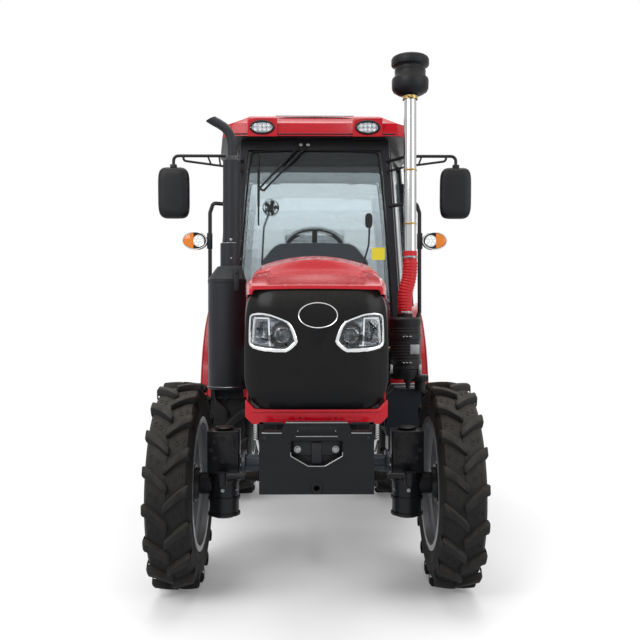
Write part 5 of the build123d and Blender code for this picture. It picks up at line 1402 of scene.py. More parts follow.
@dataclass
class Headlamp:
    """A headlamp: chrome rim, faceted reflectors, a projector and a clear cover."""

    nose: Nose
    outline: tuple[Flat, ...] = LAMP_LINE

    def drawn_in(self, width: float) -> list[Flat]:
        """Return the outline moved in by a width."""
        points, count = [], len(self.outline)
        for i, (x, z) in enumerate(self.outline):
            (x0, z0), (x1, z1) = self.outline[i - 1], self.outline[(i + 1) % count]
            run = Vector((x1 - x0, z1 - z0)).normalized()
            points.append((x + run.y * width, z - run.x * width))
        return points

    def rim(self, width: float, out: float) -> list[Point]:
        """Return a row of the rim, which is broader along the inner side and the bottom."""
        points = []
        for (x, z), (x0, z0) in zip(self.drawn_in(width), self.outline):
            low = max(0.0, min(1.0, (1.23 - z0) / 0.05))
            inner = max(0.0, min(1.0, (0.115 - x0) / 0.04))
            more = width * 0.75 * max(low, inner)
            way = Vector((0.165 - x0, 1.25 - z0)).normalized() * more
            x, z = x + way.x, z + way.y
            points.append((x, self.nose.face_y(x, z) - out, z))
        return points

    def row(self, width: float, out: float) -> list[Point]:
        """Return the outline moved in, on the nose's surface and this far in front of it."""
        return [(x, self.nose.face_y(x, z) - out, z) for x, z in self.drawn_in(width)]

    def build(self) -> None:
        """Make both lamps."""
        bezel = loft("bezel", [self.rim(0, -0.008), self.rim(-0.0005, 0.004), self.rim(0.003, 0.0085),
                               self.rim(0.0075, 0.0075),
                               self.rim(0.010, 0.002), self.rim(0.010, -0.008)], 60.0, capped=False)
        smoke = loft("inner_bezel", [self.rim(0.0095, -0.010), self.rim(0.0095, -0.002), self.rim(0.0135, -0.004),
                                     self.rim(0.0145, -0.018)], 60.0, capped=False)
        cover = loft("cover", [self.row(0.010, -0.001), self.row(0.0102, 0.002), self.row(0.024, 0.0045),
                               self.row(0.060, 0.006)], 60.0)
        bucket = self.bucket()
        middle = (0.136, 1.2395)
        place = (middle[0], self.nose.face_y(*middle) + 0.016, middle[1])
        ring, shroud, lens = (lathe(name, profile, place, "Y", 48) for name, profile in (
            ("ring", [(0.0310, 0.010), (0.0310, -0.006), (0.0280, -0.011), (0.0242, -0.004), (0.0242, 0.012)]),
            ("shroud", [(0.0308, 0.014), (0.0308, -0.001), (0.0390, 0.004), (0.0405, 0.016)]),
            ("lens", [(0, -0.008), (0.010, -0.0065), (0.020, -0.0015), (0.0240, 0.006), (0.0240, 0.014),
                      (0, 0.014)])))
        fins = []
        for k, (x0, z0, x1, z1) in enumerate(((0.190, 1.306, 0.184, 1.192), (0.246, 1.308, 0.254, 1.205),
                (0.190, 1.306, 0.246, 1.308))):
            y0, y1 = self.nose.face_y(x0, z0) + 0.010, self.nose.face_y(x1, z1) + 0.010
            fins.append(tube(f"light_guide_{k}",
                             [(x0, y0, z0), ((x0 + x1) / 2 + 0.002, (y0 + y1) / 2, (z0 + z1) / 2), (x1, y1, z1)],
                             0.003, smooth=True))
        pieces = [dress(bezel, Skin.CHROME), dress(smoke, Skin.SMOKE), dress(bucket, Skin.REFLECTOR),
                  dress(ring, Skin.CHROME), dress(lens, Skin.GLASS)]
        pieces += [dress(fin, Skin.WHITE) for fin in fins] + [dress(shroud, Skin.SMOKE)]
        one = joined("lamp_one", pieces)
        finished(pair("headlamp_bodies", one), "hood")
        dress(cover, Skin.LENS)
        finished(pair("headlamp_covers", cover), "hood", stands_for=["headlamps"])

    def bucket(self) -> bpy.types.Object:
        """Return the faceted reflector that lines the lamp's hollow."""
        inside = self.drawn_in(0.009)
        centres = ((0.136, 1.2395, 0.040), (0.222, 1.252, 0.034))
        points: list[Point] = []
        faces: list[tuple[int, ...]] = []
        columns, rows = 26, 20
        lows = min(z for _, z in inside), max(z for _, z in inside)
        for r in range(rows + 1):
            z = lows[0] + (lows[1] - lows[0]) * r / rows
            crossings = []
            for (x0, z0), (x1, z1) in zip(inside, inside[1:] + inside[:1]):
                if (z0 - z) * (z1 - z) <= 0 and abs(z1 - z0) > 1e-9:
                    crossings.append(x0 + (x1 - x0) * (z - z0) / (z1 - z0))
            left, right = (min(crossings), max(crossings)) if crossings else (0.15, 0.2)
            for c in range(columns + 1):
                x = left + (right - left) * c / columns
                near = min(math.hypot(x - cx, z - cz) / size for cx, cz, size in centres)
                depth = 0.040 * max(0.0, 1 - (near / 1.35) ** 2) + 0.010
                facet = 0.0022 * ((c % 2) + ((r // 2) % 2))
                points.append((x, self.nose.face_y(x, z) + depth + facet, z))
        for r in range(rows):
            for c in range(columns):
                i = r * (columns + 1) + c
                faces.append((i, i + 1, i + columns + 2, i + columns + 1))
        mesh = bpy.data.meshes.new("bucket")
        mesh.from_pydata(points, [], faces)
        if sum(p.normal.y for p in mesh.polygons) > 0:
            mesh.flip_normals()
        result = walled(new_object("bucket", mesh), 0.0015)
        shade(result.data, 12.0)
        return result


def refined(node: str, bevel: float, skin: Skin, segments: int = 2) -> bpy.types.Object:
    """Return a copy of a CAD node with its facets merged and its edges rounded.

    Args:
        node: the CAD node's name.
        bevel: the width of the rounded edges.
        skin: its finish.
        segments: steps across each rounded edge.

    Returns:
        The copy, which takes the node's place.
    """
    mesh = frame["nodes"][node].data.copy()
    build = bmesh.new()
    build.from_mesh(mesh)
    bmesh.ops.remove_doubles(build, verts=build.verts[:], dist=0.00005)
    bmesh.ops.dissolve_limit(build, angle_limit=math.radians(1.0), verts=build.verts[:], edges=build.edges[:])
    bmesh.ops.recalc_face_normals(build, faces=build.faces[:])
    build.to_mesh(mesh)
    build.free()
    return soften(dress(new_object(f"{node}_refined", mesh), skin), bevel, segments, 30.0)


def blackened(thing: bpy.types.Object, chosen: Callable[[bpy.types.MeshPolygon], bool]) -> bpy.types.Object:
    """Paint the chosen faces of an object satin black, its second finish."""
    thing.data.materials.append(Skin.BLACK.value.build())
    for face in thing.data.polygons:
        if chosen(face):
            face.material_index = 1
    return thing


def sided_slab(name: str, side: int, low: Point, high: Point, bevel: float) -> bpy.types.Object:
    """Make a block given for the left side, or its mirror image when side is -1."""
    left, right = sorted((side * low[0], side * high[0]))
    return slab(name, (left, *low[1:]), (right, *high[1:]), bevel)


@dataclass
class FrontEnd:
    """The small parts of the red bumper, the ballast plate and what shows in its opening."""

    plate_y: float = from_front(-0.850)
    bumper_y: float = from_front(-0.752)
    high: float = 0.905
    hatch: tuple[Flat, ...] = ((-0.032, 0.736), (0.032, 0.736), (0.100, 0.7752), (0.100, 0.834), (-0.100, 0.834),
                               (-0.100, 0.7752))

    def edge_line(self, outline: Sequence[Flat], width: float, out: float, skin: Skin) -> bpy.types.Object:
        """Return a thin bare edge round an outline on the plate's face."""
        middle = (sum(x for x, _ in outline) / len(outline), sum(z for _, z in outline) / len(outline))
        rows = []
        for grow, y in ((0.0, 0.004), (0.0, -out), (width, -out), (width, 0.004)):
            row = []
            for x, z in outline:
                away = Vector((x - middle[0], z - middle[1]))
                place = away + away.normalized() * grow
                row.append((middle[0] + place.x, self.plate_y + y, middle[1] + place.y))
            rows.append(row)
        return dress(loft("edge_line", rows, 30.0, capped=False), skin)

    def build(self) -> None:
        """Make and dress the pieces."""
        y = self.plate_y
        parts = [self.edge_line(self.hatch, 0.0030, 0.0012, Skin.PLATE)]
        rim = [(x, y - 0.0015, z) for x, z in ((-0.100, 0.790), (-0.100, 0.7752), (-0.032, 0.736),
                                              (0.032, 0.736), (0.100, 0.7752), (0.100, 0.790))]
        parts.append(dress(tube("worn_rim", rim, 0.0024, sides=2), Skin.STEEL))
        for side in SIDES.values():
            bar = sided_slab("notch_bar", side, (0.130, y + 0.001, 0.8965), (0.222, y + 0.012, 0.9050), 0.001)
            post = sided_slab("notch_post", side, (0.205, y + 0.001, 0.868), (0.222, y + 0.012, 0.9050), 0.001)
            parts += [dress(bar, Skin.PLATE), dress(post, Skin.PLATE)]
        edge = slab("top_edge", (-0.120, y - 0.001, self.high - 0.003), (0.120, y + 0.046, self.high + 0.0012),
                    0.0008)
        parts.append(dress(edge, Skin.STEEL))
        for side in SIDES.values():
            tab = sided_slab("bent_tab", side, (0.134, y - 0.004, 0.8615), (0.212, y + 0.046, 0.8665), 0.0015)
            corner = sided_slab("corner_edge", side, (0.2195, y - 0.001, 0.872), (0.2225, y + 0.040, 0.900), 0.001)
            parts += [dress(tab, Skin.STEEL), dress(corner, Skin.PLATE)]
        parts.append(dress(slab("name_plate", (-0.078, y - 0.0022, 0.856), (0.078, y + 0.001, 0.889), 0.0008),
                           Skin.PLATE))
        parts.append(dress(tube("plate_bead", [(-0.080, y - 0.001, 0.851), (0.080, y - 0.001, 0.851)], 0.0022),
                           Skin.STEEL))
        rivet = lathe("rivet", [(0, -0.0036), (0.0022, -0.003), (0.003, 0.0), (0, 0.0)], (0, 0, 0), "Y", 12)
        rivets = Repeat("rivets", rivet, Skin.STEEL).in_row(2, (0.146, 0, 0), (-0.073, y - 0.001, 0.8725))
        parts.append(dress(rivets, Skin.STEEL))
        boss = lathe("tow_boss", [(0.012, -0.006), (0.021, -0.006), (0.023, -0.003), (0.023, 0.002),
                                  (0.012, 0.002)], (0, y, 0.652), "Y", 40)
        parts.append(dress(boss, Skin.PLATE))
        hitch = slab("hitch_plate", (-0.094, y + 0.026, 0.772), (0.094, y + 0.036, 0.832), 0.004)
        jaw = slab("hitch_jaw", (-0.020, y + 0.014, 0.740), (0.020, y + 0.036, 0.826), 0.005)
        parts += [dress(hitch, Skin.BLACK), dress(jaw, Skin.BLACK)]
        head = bolt(0.0105, 0.011)
        bolts = Repeat("hitch_bolts", head, Skin.STEEL).in_row(2, (0.148, 0, 0), (-0.074, y + 0.026, 0.797))
        parts.append(bolts)
        screw = bolt(0.006, 0.005)
        parts.append(Repeat("plate_screws", screw, Skin.BLACK).in_row(2, (0.40, 0, 0), (-0.20, y, 0.845)))
        finished(joined("plate_details", parts), "chassis")

        y = self.bumper_y
        parts = []
        for x in (-0.066, 0.0765):
            ring = [(x + dx, 0.912 + dz) for dx, dz in oval((0, 0), 0.021, 0.016, 24, 6.0)]
            hole = [(x + dx, 0.9102 + dz) for dx, dz in oval((0, 0), 0.0042, 0.0042, 24)]
            rows = [[(px, y + at, pz) for px, pz in line] for line,
                    at in ((ring, 0.002), (ring, -0.006), (hole, -0.006), (hole, 0.002))]
            parts.append(dress(loft("bumper_tab", rows, 30.0, capped=False), Skin.RED))
            # A black plastic disc plugs each tab's hole: painted shade for the dark hole.
            parts.append(dress(prism("tab_back", hole, "Y", y - 0.0005, y + 0.001), Skin.PLASTIC))
        bumper = blackened(refined("nose_bumper", 0.004, Skin.RED), lambda face: face.center.z < 0.8855)
        finished(bumper, "chassis", stands_for=["nose_bumper"])
        crease = [(-0.262, y - 0.0005, 0.9385), (-0.246, y - 0.002, 0.936), (0.246, y - 0.002, 0.936),
                  (0.262, y - 0.0005, 0.9385)]
        parts.append(dress(tube("crease", crease, 0.0028), Skin.RED))
        for side in SIDES.values():
            corner = [(side * 0.281, y + 0.012, 0.918), (side * 0.281, y + 0.012, 0.976)]
            parts.append(dress(tube("horn_edge", corner, 0.0035), Skin.RED))
            lip = [(side * 0.245, y + 0.004, 0.8905), (side * 0.279, y + 0.004, 0.919)]
            parts.append(dress(tube("lower_edge", lip, 0.0022), Skin.STEEL))
        finished(joined("bumper_details", parts), "chassis")

        for name, side in SIDES.items():
            x = side * 0.243
            y0 = from_front(-0.66)
            line = [(x, y0, 0.895), (x + side * 0.002, y0, 0.82), (side * 0.215, y0 + 0.02, 0.72),
                    (side * 0.19, y0 + 0.06, 0.68)]
            hose = tube("hose", line, 0.0125, smooth=True)
            rib = lathe("rib", [(0.0125, -0.0035), (0.0148, -0.001), (0.0148, 0.001), (0.0125, 0.0035)], (0, 0, 0),
                        "Z", 24)
            ribs = Repeat("hose_ribs", rib, Skin.STAINLESS).in_row(9, (0, 0, -0.0095),
                (x + side * 0.0008, y0, 0.888))
            finished(joined(f"wrapped_hoses_{name}", [dress(hose, Skin.STAINLESS), ribs]), "chassis")


@dataclass
class FrontAxle:
    """Covers, bolts, boots and hoses of the steered axle."""

    kingpin: float = 0.450
    rod_y: float = from_front(-0.132)
    rod_z: float = 0.5573
    case_low: float = 0.345
    case_top: float = 0.540

    def boot(self, x: float, side: int) -> bpy.types.Object:
        """Return a pleated rubber boot over the steering rod, from the barrel outwards."""
        profile: list[Flat] = []
        for k in range(7):
            level = side * 0.011 * k
            profile += [(0.030 - 0.0012 * k, level), (0.022 - 0.0008 * k, level + side * 0.0055)]
        profile = [(0.0155, 0.0)] + profile + [(0.0155, side * 0.074)]
        return dress(lathe("boot", profile, (x, self.rod_y, self.rod_z), "X", 40), Skin.RUBBER)

    def build(self) -> None:
        """Make and dress the pieces."""
        casting = blackened(refined("front_axle", 0.003, Skin.GREY), lambda face: abs(face.center.x) > 0.353)
        finished(casting, "chassis", stands_for=["front_axle"])
        parts = []
        for side in SIDES.values():
            x = side * self.kingpin
            cover = prism("box_cover", oval((x, 0.672), 0.060, 0.072, 40, 5.0), "Y", from_front(-0.076),
                          from_front(-0.066), 0.003)
            parts.append(dress(cover, Skin.BLACK))
            head = moved(bolt(0.009, 0.008), (0, 0, 0.0545))
            heads = Repeat("cover_bolts", head, Skin.BLACK)
            parts.append(heads.round_axis(8, (0, 1, 0), (x, from_front(-0.076), 0.672)))
            lid = lathe("box_lid", [(0, 0.762), (0.030, 0.762), (0.046, 0.766), (0.050, 0.771), (0.044, 0.776),
                                    (0, 0.778)], (x, FRONT_Y, 0), "Z", 40)
            parts.append(dress(lid, Skin.BLACK))
            parts.append(self.boot(side * 0.264, side))
            flange = lathe("beam_flange", [(0.042, -0.010), (0.064, -0.010), (0.066, -0.006), (0.066, 0.008),
                (0.042, 0.010)], (side * 0.352, FRONT_Y, 0.595), "X", 48)
            parts.append(dress(flange, Skin.GREY))
            small = moved(bolt(0.006, 0.006, "X", side), (side * 0.008, 0, 0.055))
            around = Repeat("flange_bolts", small, Skin.STEEL)
            parts.append(around.round_axis(8, (1, 0, 0), (side * 0.352, FRONT_Y, 0.595)))
            rib = [(side * 0.10, FRONT_Y - 0.012, 0.645), (side * 0.20, FRONT_Y - 0.012, 0.634),
                   (side * 0.33, FRONT_Y - 0.012, 0.632)]
            parts.append(dress(tube("beam_rib", rib, 0.010), Skin.GREY))
            line = [(side * 0.15, self.rod_y - 0.02, 0.575), (side * 0.16, self.rod_y - 0.045, 0.62),
                    (side * 0.115, from_front(-0.20), 0.70), (side * 0.10, from_front(-0.30), 0.80)]
            parts.append(dress(tube("steering_hose", line, 0.007, smooth=True), Skin.RUBBER))
            parts.append(dress(lathe("hose_fitting", [(0.006, -0.012), (0.011, -0.012), (0.011, 0.006),
                (0.006, 0.006)], (side * 0.15, self.rod_y - 0.022, 0.578), "Z", 6), Skin.STEEL))
        cap = [(0.0, -0.012), (0.036, -0.012), (0.036, 0.0), (0.0, 0.0)]
        parts.append(dress(lathe("pivot_cap", cap, (0, from_front(-0.1165), 0.690), "Y", 32), Skin.STEEL))
        finished(joined("axle_details", parts), "chassis")
        for name, side in SIDES.items():
            x = side * self.kingpin
            rings = [dress(lathe("case_ring", [(0.072, -0.006), (0.079, -0.006), (0.079, 0.006), (0.072, 0.006)],
                                 (x, FRONT_Y, z), "Z", 48), Skin.BLACK)
                     for z in (0.352, 0.430, 0.517)]
            foot = lathe("case_foot", [(0, self.case_low - 0.010), (0.050, self.case_low - 0.010),
                                       (0.062, self.case_low), (0, self.case_low)], (x, FRONT_Y, 0), "Z", 40)
            plug = moved(bolt(0.010, 0.008, "Z", -1), (x, FRONT_Y, self.case_low - 0.009))
            stud = moved(bolt(0.007, 0.006), (0, -0.0725, 0))
            studs = Repeat("case_studs", stud, Skin.STEEL).round_axis(6, (0, 0, 1), (x, FRONT_Y, 0.475))
            castle = moved(bolt(0.014, 0.012, "Z", -1), (x, self.rod_y, self.case_top - 0.024))
            face = side * (0.655 - 0.050 - 0.0003)
            hub = lathe("hub_ring", [(0.052, -side * 0.040), (0.070, -side * 0.038), (0.078, -side * 0.018),
                                     (0.052, -side * 0.016)], (face, FRONT_Y, FRONT_RADIUS), "X", 48)
            things = rings + [dress(foot, Skin.BLACK), dress(plug, Skin.STEEL), studs, dress(castle, Skin.BLACK),
                              dress(hub, Skin.BLACK)]
            finished(joined(f"knuckle_details_{name}", things), f"knuckle_{name}")


@dataclass
class WorkLamp:
    """An oval work lamp: bezel, bright bowl, clear cover and two rows of emitters."""

    wide: float = 0.076
    tall: float = 0.044
    z: float = 2.490

    def build_pair(self, name: str, y: float, facing: int) -> list[bpy.types.Object]:
        """Return both lamps at one end of the roof.

        Args:
            name: the end's name.
            y: the lamps' face.
            facing: -1 towards the front and 1 towards the back.

        Returns:
            The dressed pieces on both sides.
        """
        x = 0.326
        rows = []
        for grow, out in ((0.0, -0.024), (0.0, 0.0), (-0.0035, 0.003), (-0.0085, 0.0025), (-0.011, -0.003),
                          (-0.011, -0.024)):
            rows.append(in_plane(oval((x, self.z), self.wide + grow, self.tall + grow), y + facing * out))
        bezel = dress(loft("bezel", rows, 50.0, capped=False), Skin.PLASTIC)
        inner = oval((x, self.z), self.wide - 0.011, self.tall - 0.011)
        bowl = dress(prism("bowl", inner, "Y", *sorted((y - facing * 0.016, y - facing * 0.012))), Skin.REFLECTOR)
        emitters = []
        for name_of, profile, steps, skin, sunk in (
                ("cup", [(0, 0.0), (0.004, 0.0005), (0.0078, 0.003), (0.0105, 0.008), (0.0118, 0.008),
                         (0.0118, -0.002),
                         (0, -0.002)], 20, Skin.CHROME, 0.012),
                ("chip", [(0, 0.0015), (0.0032, 0.001), (0.0036, 0.0), (0, 0.0)], 12, Skin.WHITE, 0.0115)):
            for dz in (0.0125, -0.0125):
                item = lathe(name_of, profile, (0, 0, 0), "Y", steps)
                if facing < 0:
                    moved(item, HALF_TURN)
                first = (x - 0.0393, y - facing * sunk, self.z + dz)
                emitters.append(Repeat(name_of, item, skin).in_row(4, (0.0262, 0, 0), first))
        cover = oval((x, self.z), self.wide - 0.0112, self.tall - 0.0112)
        pane = dress(prism("pane", cover, "Y", *sorted((y, y - facing * 0.0022))), Skin.LENS)
        return [pair(f"lamps_{name}", joined("one", [bezel, bowl] + emitters)), pair(f"panes_{name}", pane)]


@dataclass
class Roof:
    """Lamps, lining, visor, vents, seam and gutters of the roof."""

    front: float = from_front(1.000)
    back: float = from_front(2.390)
    low: float = 2.440

    def build(self) -> None:
        """Make and dress the pieces."""
        shell = blackened(refined("roof", 0.007, Skin.RED, 3),
                          lambda face: face.normal.z < -0.5 and face.center.z < self.low + 0.03)
        finished(shell, "chassis", stands_for=["roof"])
        lamp = WorkLamp()
        fronts = lamp.build_pair("front", self.front - 0.022, -1)
        rears = lamp.build_pair("rear", self.back + 0.032, 1)
        finished(joined("work_lamp_bodies", [fronts[0], rears[0]]), "chassis", stands_for=["work_lamps"])
        finished(joined("work_lamp_covers", [fronts[1], rears[1]]), "chassis")
        ceiling = [(-0.42, 0.14), (0.42, 0.14), (0.54, 0.66), (0.48, 1.24), (-0.48, 1.24), (-0.54, 0.66)]
        lining = dress(prism("ceiling", ceiling, "Z", 2.366, 2.376, 0.003), Skin.CEILING)
        console = prism("console", [(0.118, 2.292), (0.150, 2.286), (0.34, 2.352), (0.34, 2.366), (0.120, 2.366)],
                        "X", -0.415, 0.415, 0.008)
        parts = [lining, dress(console, Skin.LINING)]
        for x in (-0.24, 0.236):
            grille = prism("vent", oval((x, 2.322), 0.070, 0.0125, 36, 2.6), "Y", 0.112, 0.120, 0.002)
            parts.append(dress(grille, Skin.PLASTIC))
        finished(joined("headliner", parts), "chassis")
        brow = [(-0.40, 2.4365), (0.40, 2.4365), (0.43, 2.4405), (-0.43, 2.4405)]
        visor = prism("visor", brow, "Y", self.front + 0.020, self.front + 0.085, 0.001)
        parts = [dress(visor, Skin.PLASTIC)]
        seam = [(-0.500, self.front + 0.0005, 2.452), (0.500, self.front + 0.0005, 2.452)]
        parts.append(dress(tube("roof_seam", seam, 0.004), Skin.BLACK))
        strip = [(-0.235, self.front + 0.085, 2.5655), (-0.18, self.front + 0.088, 2.572),
                 (0.0, self.front + 0.090, 2.575), (0.18, self.front + 0.088, 2.572),
                 (0.235, self.front + 0.085, 2.5655)]
        parts.append(dress(tube("roof_strip", strip, 0.007), Skin.PLASTIC))
        for side in SIDES.values():
            gutter = [(side * 0.52, self.front + 0.07, 2.444), (side * 0.583, self.front + 0.14, 2.444),
                      (side * 0.655, from_front(1.70), 2.444), (side * 0.630, self.back - 0.06, 2.444)]
            parts.append(dress(tube("gutter", gutter, 0.0045), Skin.BLACK))
        finished(joined("roof_trim", parts), "chassis")


@dataclass
class CabTrim:
    """Seals, wiper, handles, hinges' covers, film and inner panels of the cab."""

    front: float = from_front(1.080)
    pillar: float = from_front(1.700)
    back: float = from_front(2.330)

    def face_y(self, z: float) -> float:
        """Return Y of the windshield frame's outer face."""
        return self.front + 0.035 * (z - 1.0)

    def side_x(self, y: float, z: float) -> float:
        """Return half the cab's outer width at a place."""
        behind = y - self.pillar
        return 0.715 + (0.25 * behind if behind < 0 else -0.10 * behind) - CAB_LEAN * (z - 1.0)

    def wiper(self) -> list[bpy.types.Object]:
        """Return the two arms with their pivots, the blade, its link and its stem."""
        parts = []
        for shift in (0.0, 0.046):
            start = (-0.088 + shift, self.face_y(2.41) - 0.012, 2.412)
            end = (-0.350 + shift * 0.55, self.face_y(2.13) - 0.004, 2.135 - shift * 0.35)
            middle = ((start[0] + end[0]) / 2, (start[1] + end[1]) / 2 - 0.012, (start[2] + end[2]) / 2)
            parts.append(dress(tube("wiper_arm", [start, middle, end], 0.0065, smooth=True), Skin.PLASTIC))
            parts.append(dress(lathe("wiper_pivot", [(0, -0.016), (0.011, -0.014), (0.013, 0.004), (0, 0.004)],
                                     (start[0], start[1] + 0.006, start[2]), "Y", 20), Skin.STEEL))
        x = -0.357
        for z0, z1, r in ((1.900, 2.350, 0.0055), (2.02, 2.25, 0.0080)):
            parts.append(dress(tube("wiper_blade", [(x, self.face_y(z0) + 0.006, z0),
                (x, self.face_y(z1) + 0.006, z1)], r), Skin.PLASTIC))
        parts.append(dress(tube("wiper_link", [(-0.350, self.face_y(2.13) - 0.004, 2.135),
            (-0.325, self.face_y(2.12) - 0.004, 2.119)], 0.0065), Skin.PLASTIC))
        parts.append(dress(tube("wiper_stem", [(x, self.face_y(2.135) + 0.004, 2.135),
            (-0.348, self.face_y(2.13) - 0.006, 2.135)], 0.005), Skin.STEEL))
        return parts

    def seal(self, corners: Sequence[Point], radius: float) -> bpy.types.Object:
        """Return a rubber seal along a closed line of corners."""
        route = []
        for before, corner, after in zip(corners[-1:] + corners[:-1], corners, corners[1:] + corners[:1]):
            here = Vector(corner)
            for other in (before, after):
                way = Vector(other) - here
                route.append(tuple(here + way.normalized() * min(0.03, way.length * 0.3)))
        return dress(tube("seal", route, radius, ring=True, sides=3), Skin.RUBBER)

    def handle(self, side: int) -> bpy.types.Object:
        """Return a door's outer handle with its lock plate, near the front pillar."""
        z, y = 1.42, self.front + 0.105
        x = side * (self.side_x(y, z) + 0.004)
        plate = moved(slab("lock_plate", (-0.006, -0.032, -0.055), (0.006, 0.032, 0.055), 0.004), (x, y, z))
        grip = tube("grip", [(x, y, z + 0.035), (x + side * 0.026, y, z + 0.030),
                             (x + side * 0.026, y + 0.02, z - 0.07), (x, y + 0.02, z - 0.075)], 0.008)
        key = lathe("key", [(0, 0.010 * side), (0.008, 0.008 * side), (0.009, 0.0), (0, 0.0)],
                    (x + side * 0.004, y, z + 0.012), "X", 20)
        return joined("handle", [dress(plate, Skin.PLASTIC), dress(grip, Skin.BLACK), dress(key, Skin.STEEL)])

    def build(self) -> None:
        """Make and dress the pieces."""
        half_low, half_high = CAB_HALF - CAB_LEAN * 0.25 - 0.046, CAB_HALF - CAB_LEAN * 1.38 - 0.046
        corners = [(-half_low, self.face_y(1.25) + 0.014, 1.250), (half_low, self.face_y(1.25) + 0.014, 1.250),
                   (half_high, self.face_y(2.38) + 0.014, 2.380), (-half_high, self.face_y(2.38) + 0.014, 2.380)]
        parts = self.wiper() + [self.seal(corners, 0.006)]
        rear_low, rear_high = self.side_x(self.back, 1.467) - 0.046, self.side_x(self.back, 2.38) - 0.046
        y = self.back - 0.014
        corners = [(-rear_low, y, 1.467), (rear_low, y, 1.467), (rear_high, y, 2.380), (-rear_high, y, 2.380)]
        parts.append(self.seal(corners, 0.006))
        for x in (-0.30, 0.30):
            hinge = slab("window_hinge", (x - 0.03, y - 0.004, 2.368), (x + 0.03, self.back + 0.010, 2.392), 0.004)
            parts.append(dress(hinge, Skin.BLACK))
        grip = [(-0.06, self.back - 0.010, 1.50), (-0.06, self.back + 0.022, 1.50), (0.06, self.back + 0.022, 1.50),
                (0.06, self.back - 0.010, 1.50)]
        parts.append(dress(tube("window_grip", grip, 0.007), Skin.PLASTIC))
        film = [(0.362, 1.682), (0.446, 1.682), (0.446, 1.760), (0.362, 1.760)]
        rows = [[(x, self.face_y(z) + 0.0192 - 0.0006, z) for x, z in film],
                [(x, self.face_y(z) + 0.0199, z) for x, z in film]]
        parts.append(dress(loft("blank_film", rows, 30.0), Skin.FILM))
        for z in (1.02, 1.10, 1.18):
            parts.append(dress(tube("sill_bead", [(-0.50, self.face_y(z) - 0.0005, z),
                (0.50, self.face_y(z) - 0.0005, z)], 0.0035), Skin.BLACK))
        finished(joined("cab_details", parts), "chassis")
        for name, side in SIDES.items():
            finished(self.handle(side), f"door_{name}").name = f"handle_{name}"
        for name, side in SIDES.items():
            low, high = self.pillar + 0.05, self.back - 0.06
            outline = [(low, 1.02), (high, 1.02), (high, 1.40), (self.pillar + 0.20, 1.40), (low, 1.22)]
            panel = prism("inner_sill", outline, "X", *sorted((side * 0.470, side * 0.470 - side * 0.05)), 0.012)
            finished(panel, "chassis", Skin.PLASTIC).name = f"side_console_{name}"
        mat = prism("floor_mat", [(-0.40, self.front + 0.05), (0.40, self.front + 0.05), (0.40, self.back - 0.08),
                                  (-0.40, self.back - 0.08)], "Z", 1.0005, 1.008, 0.002)
        finished(mat, "chassis", Skin.RUBBER)


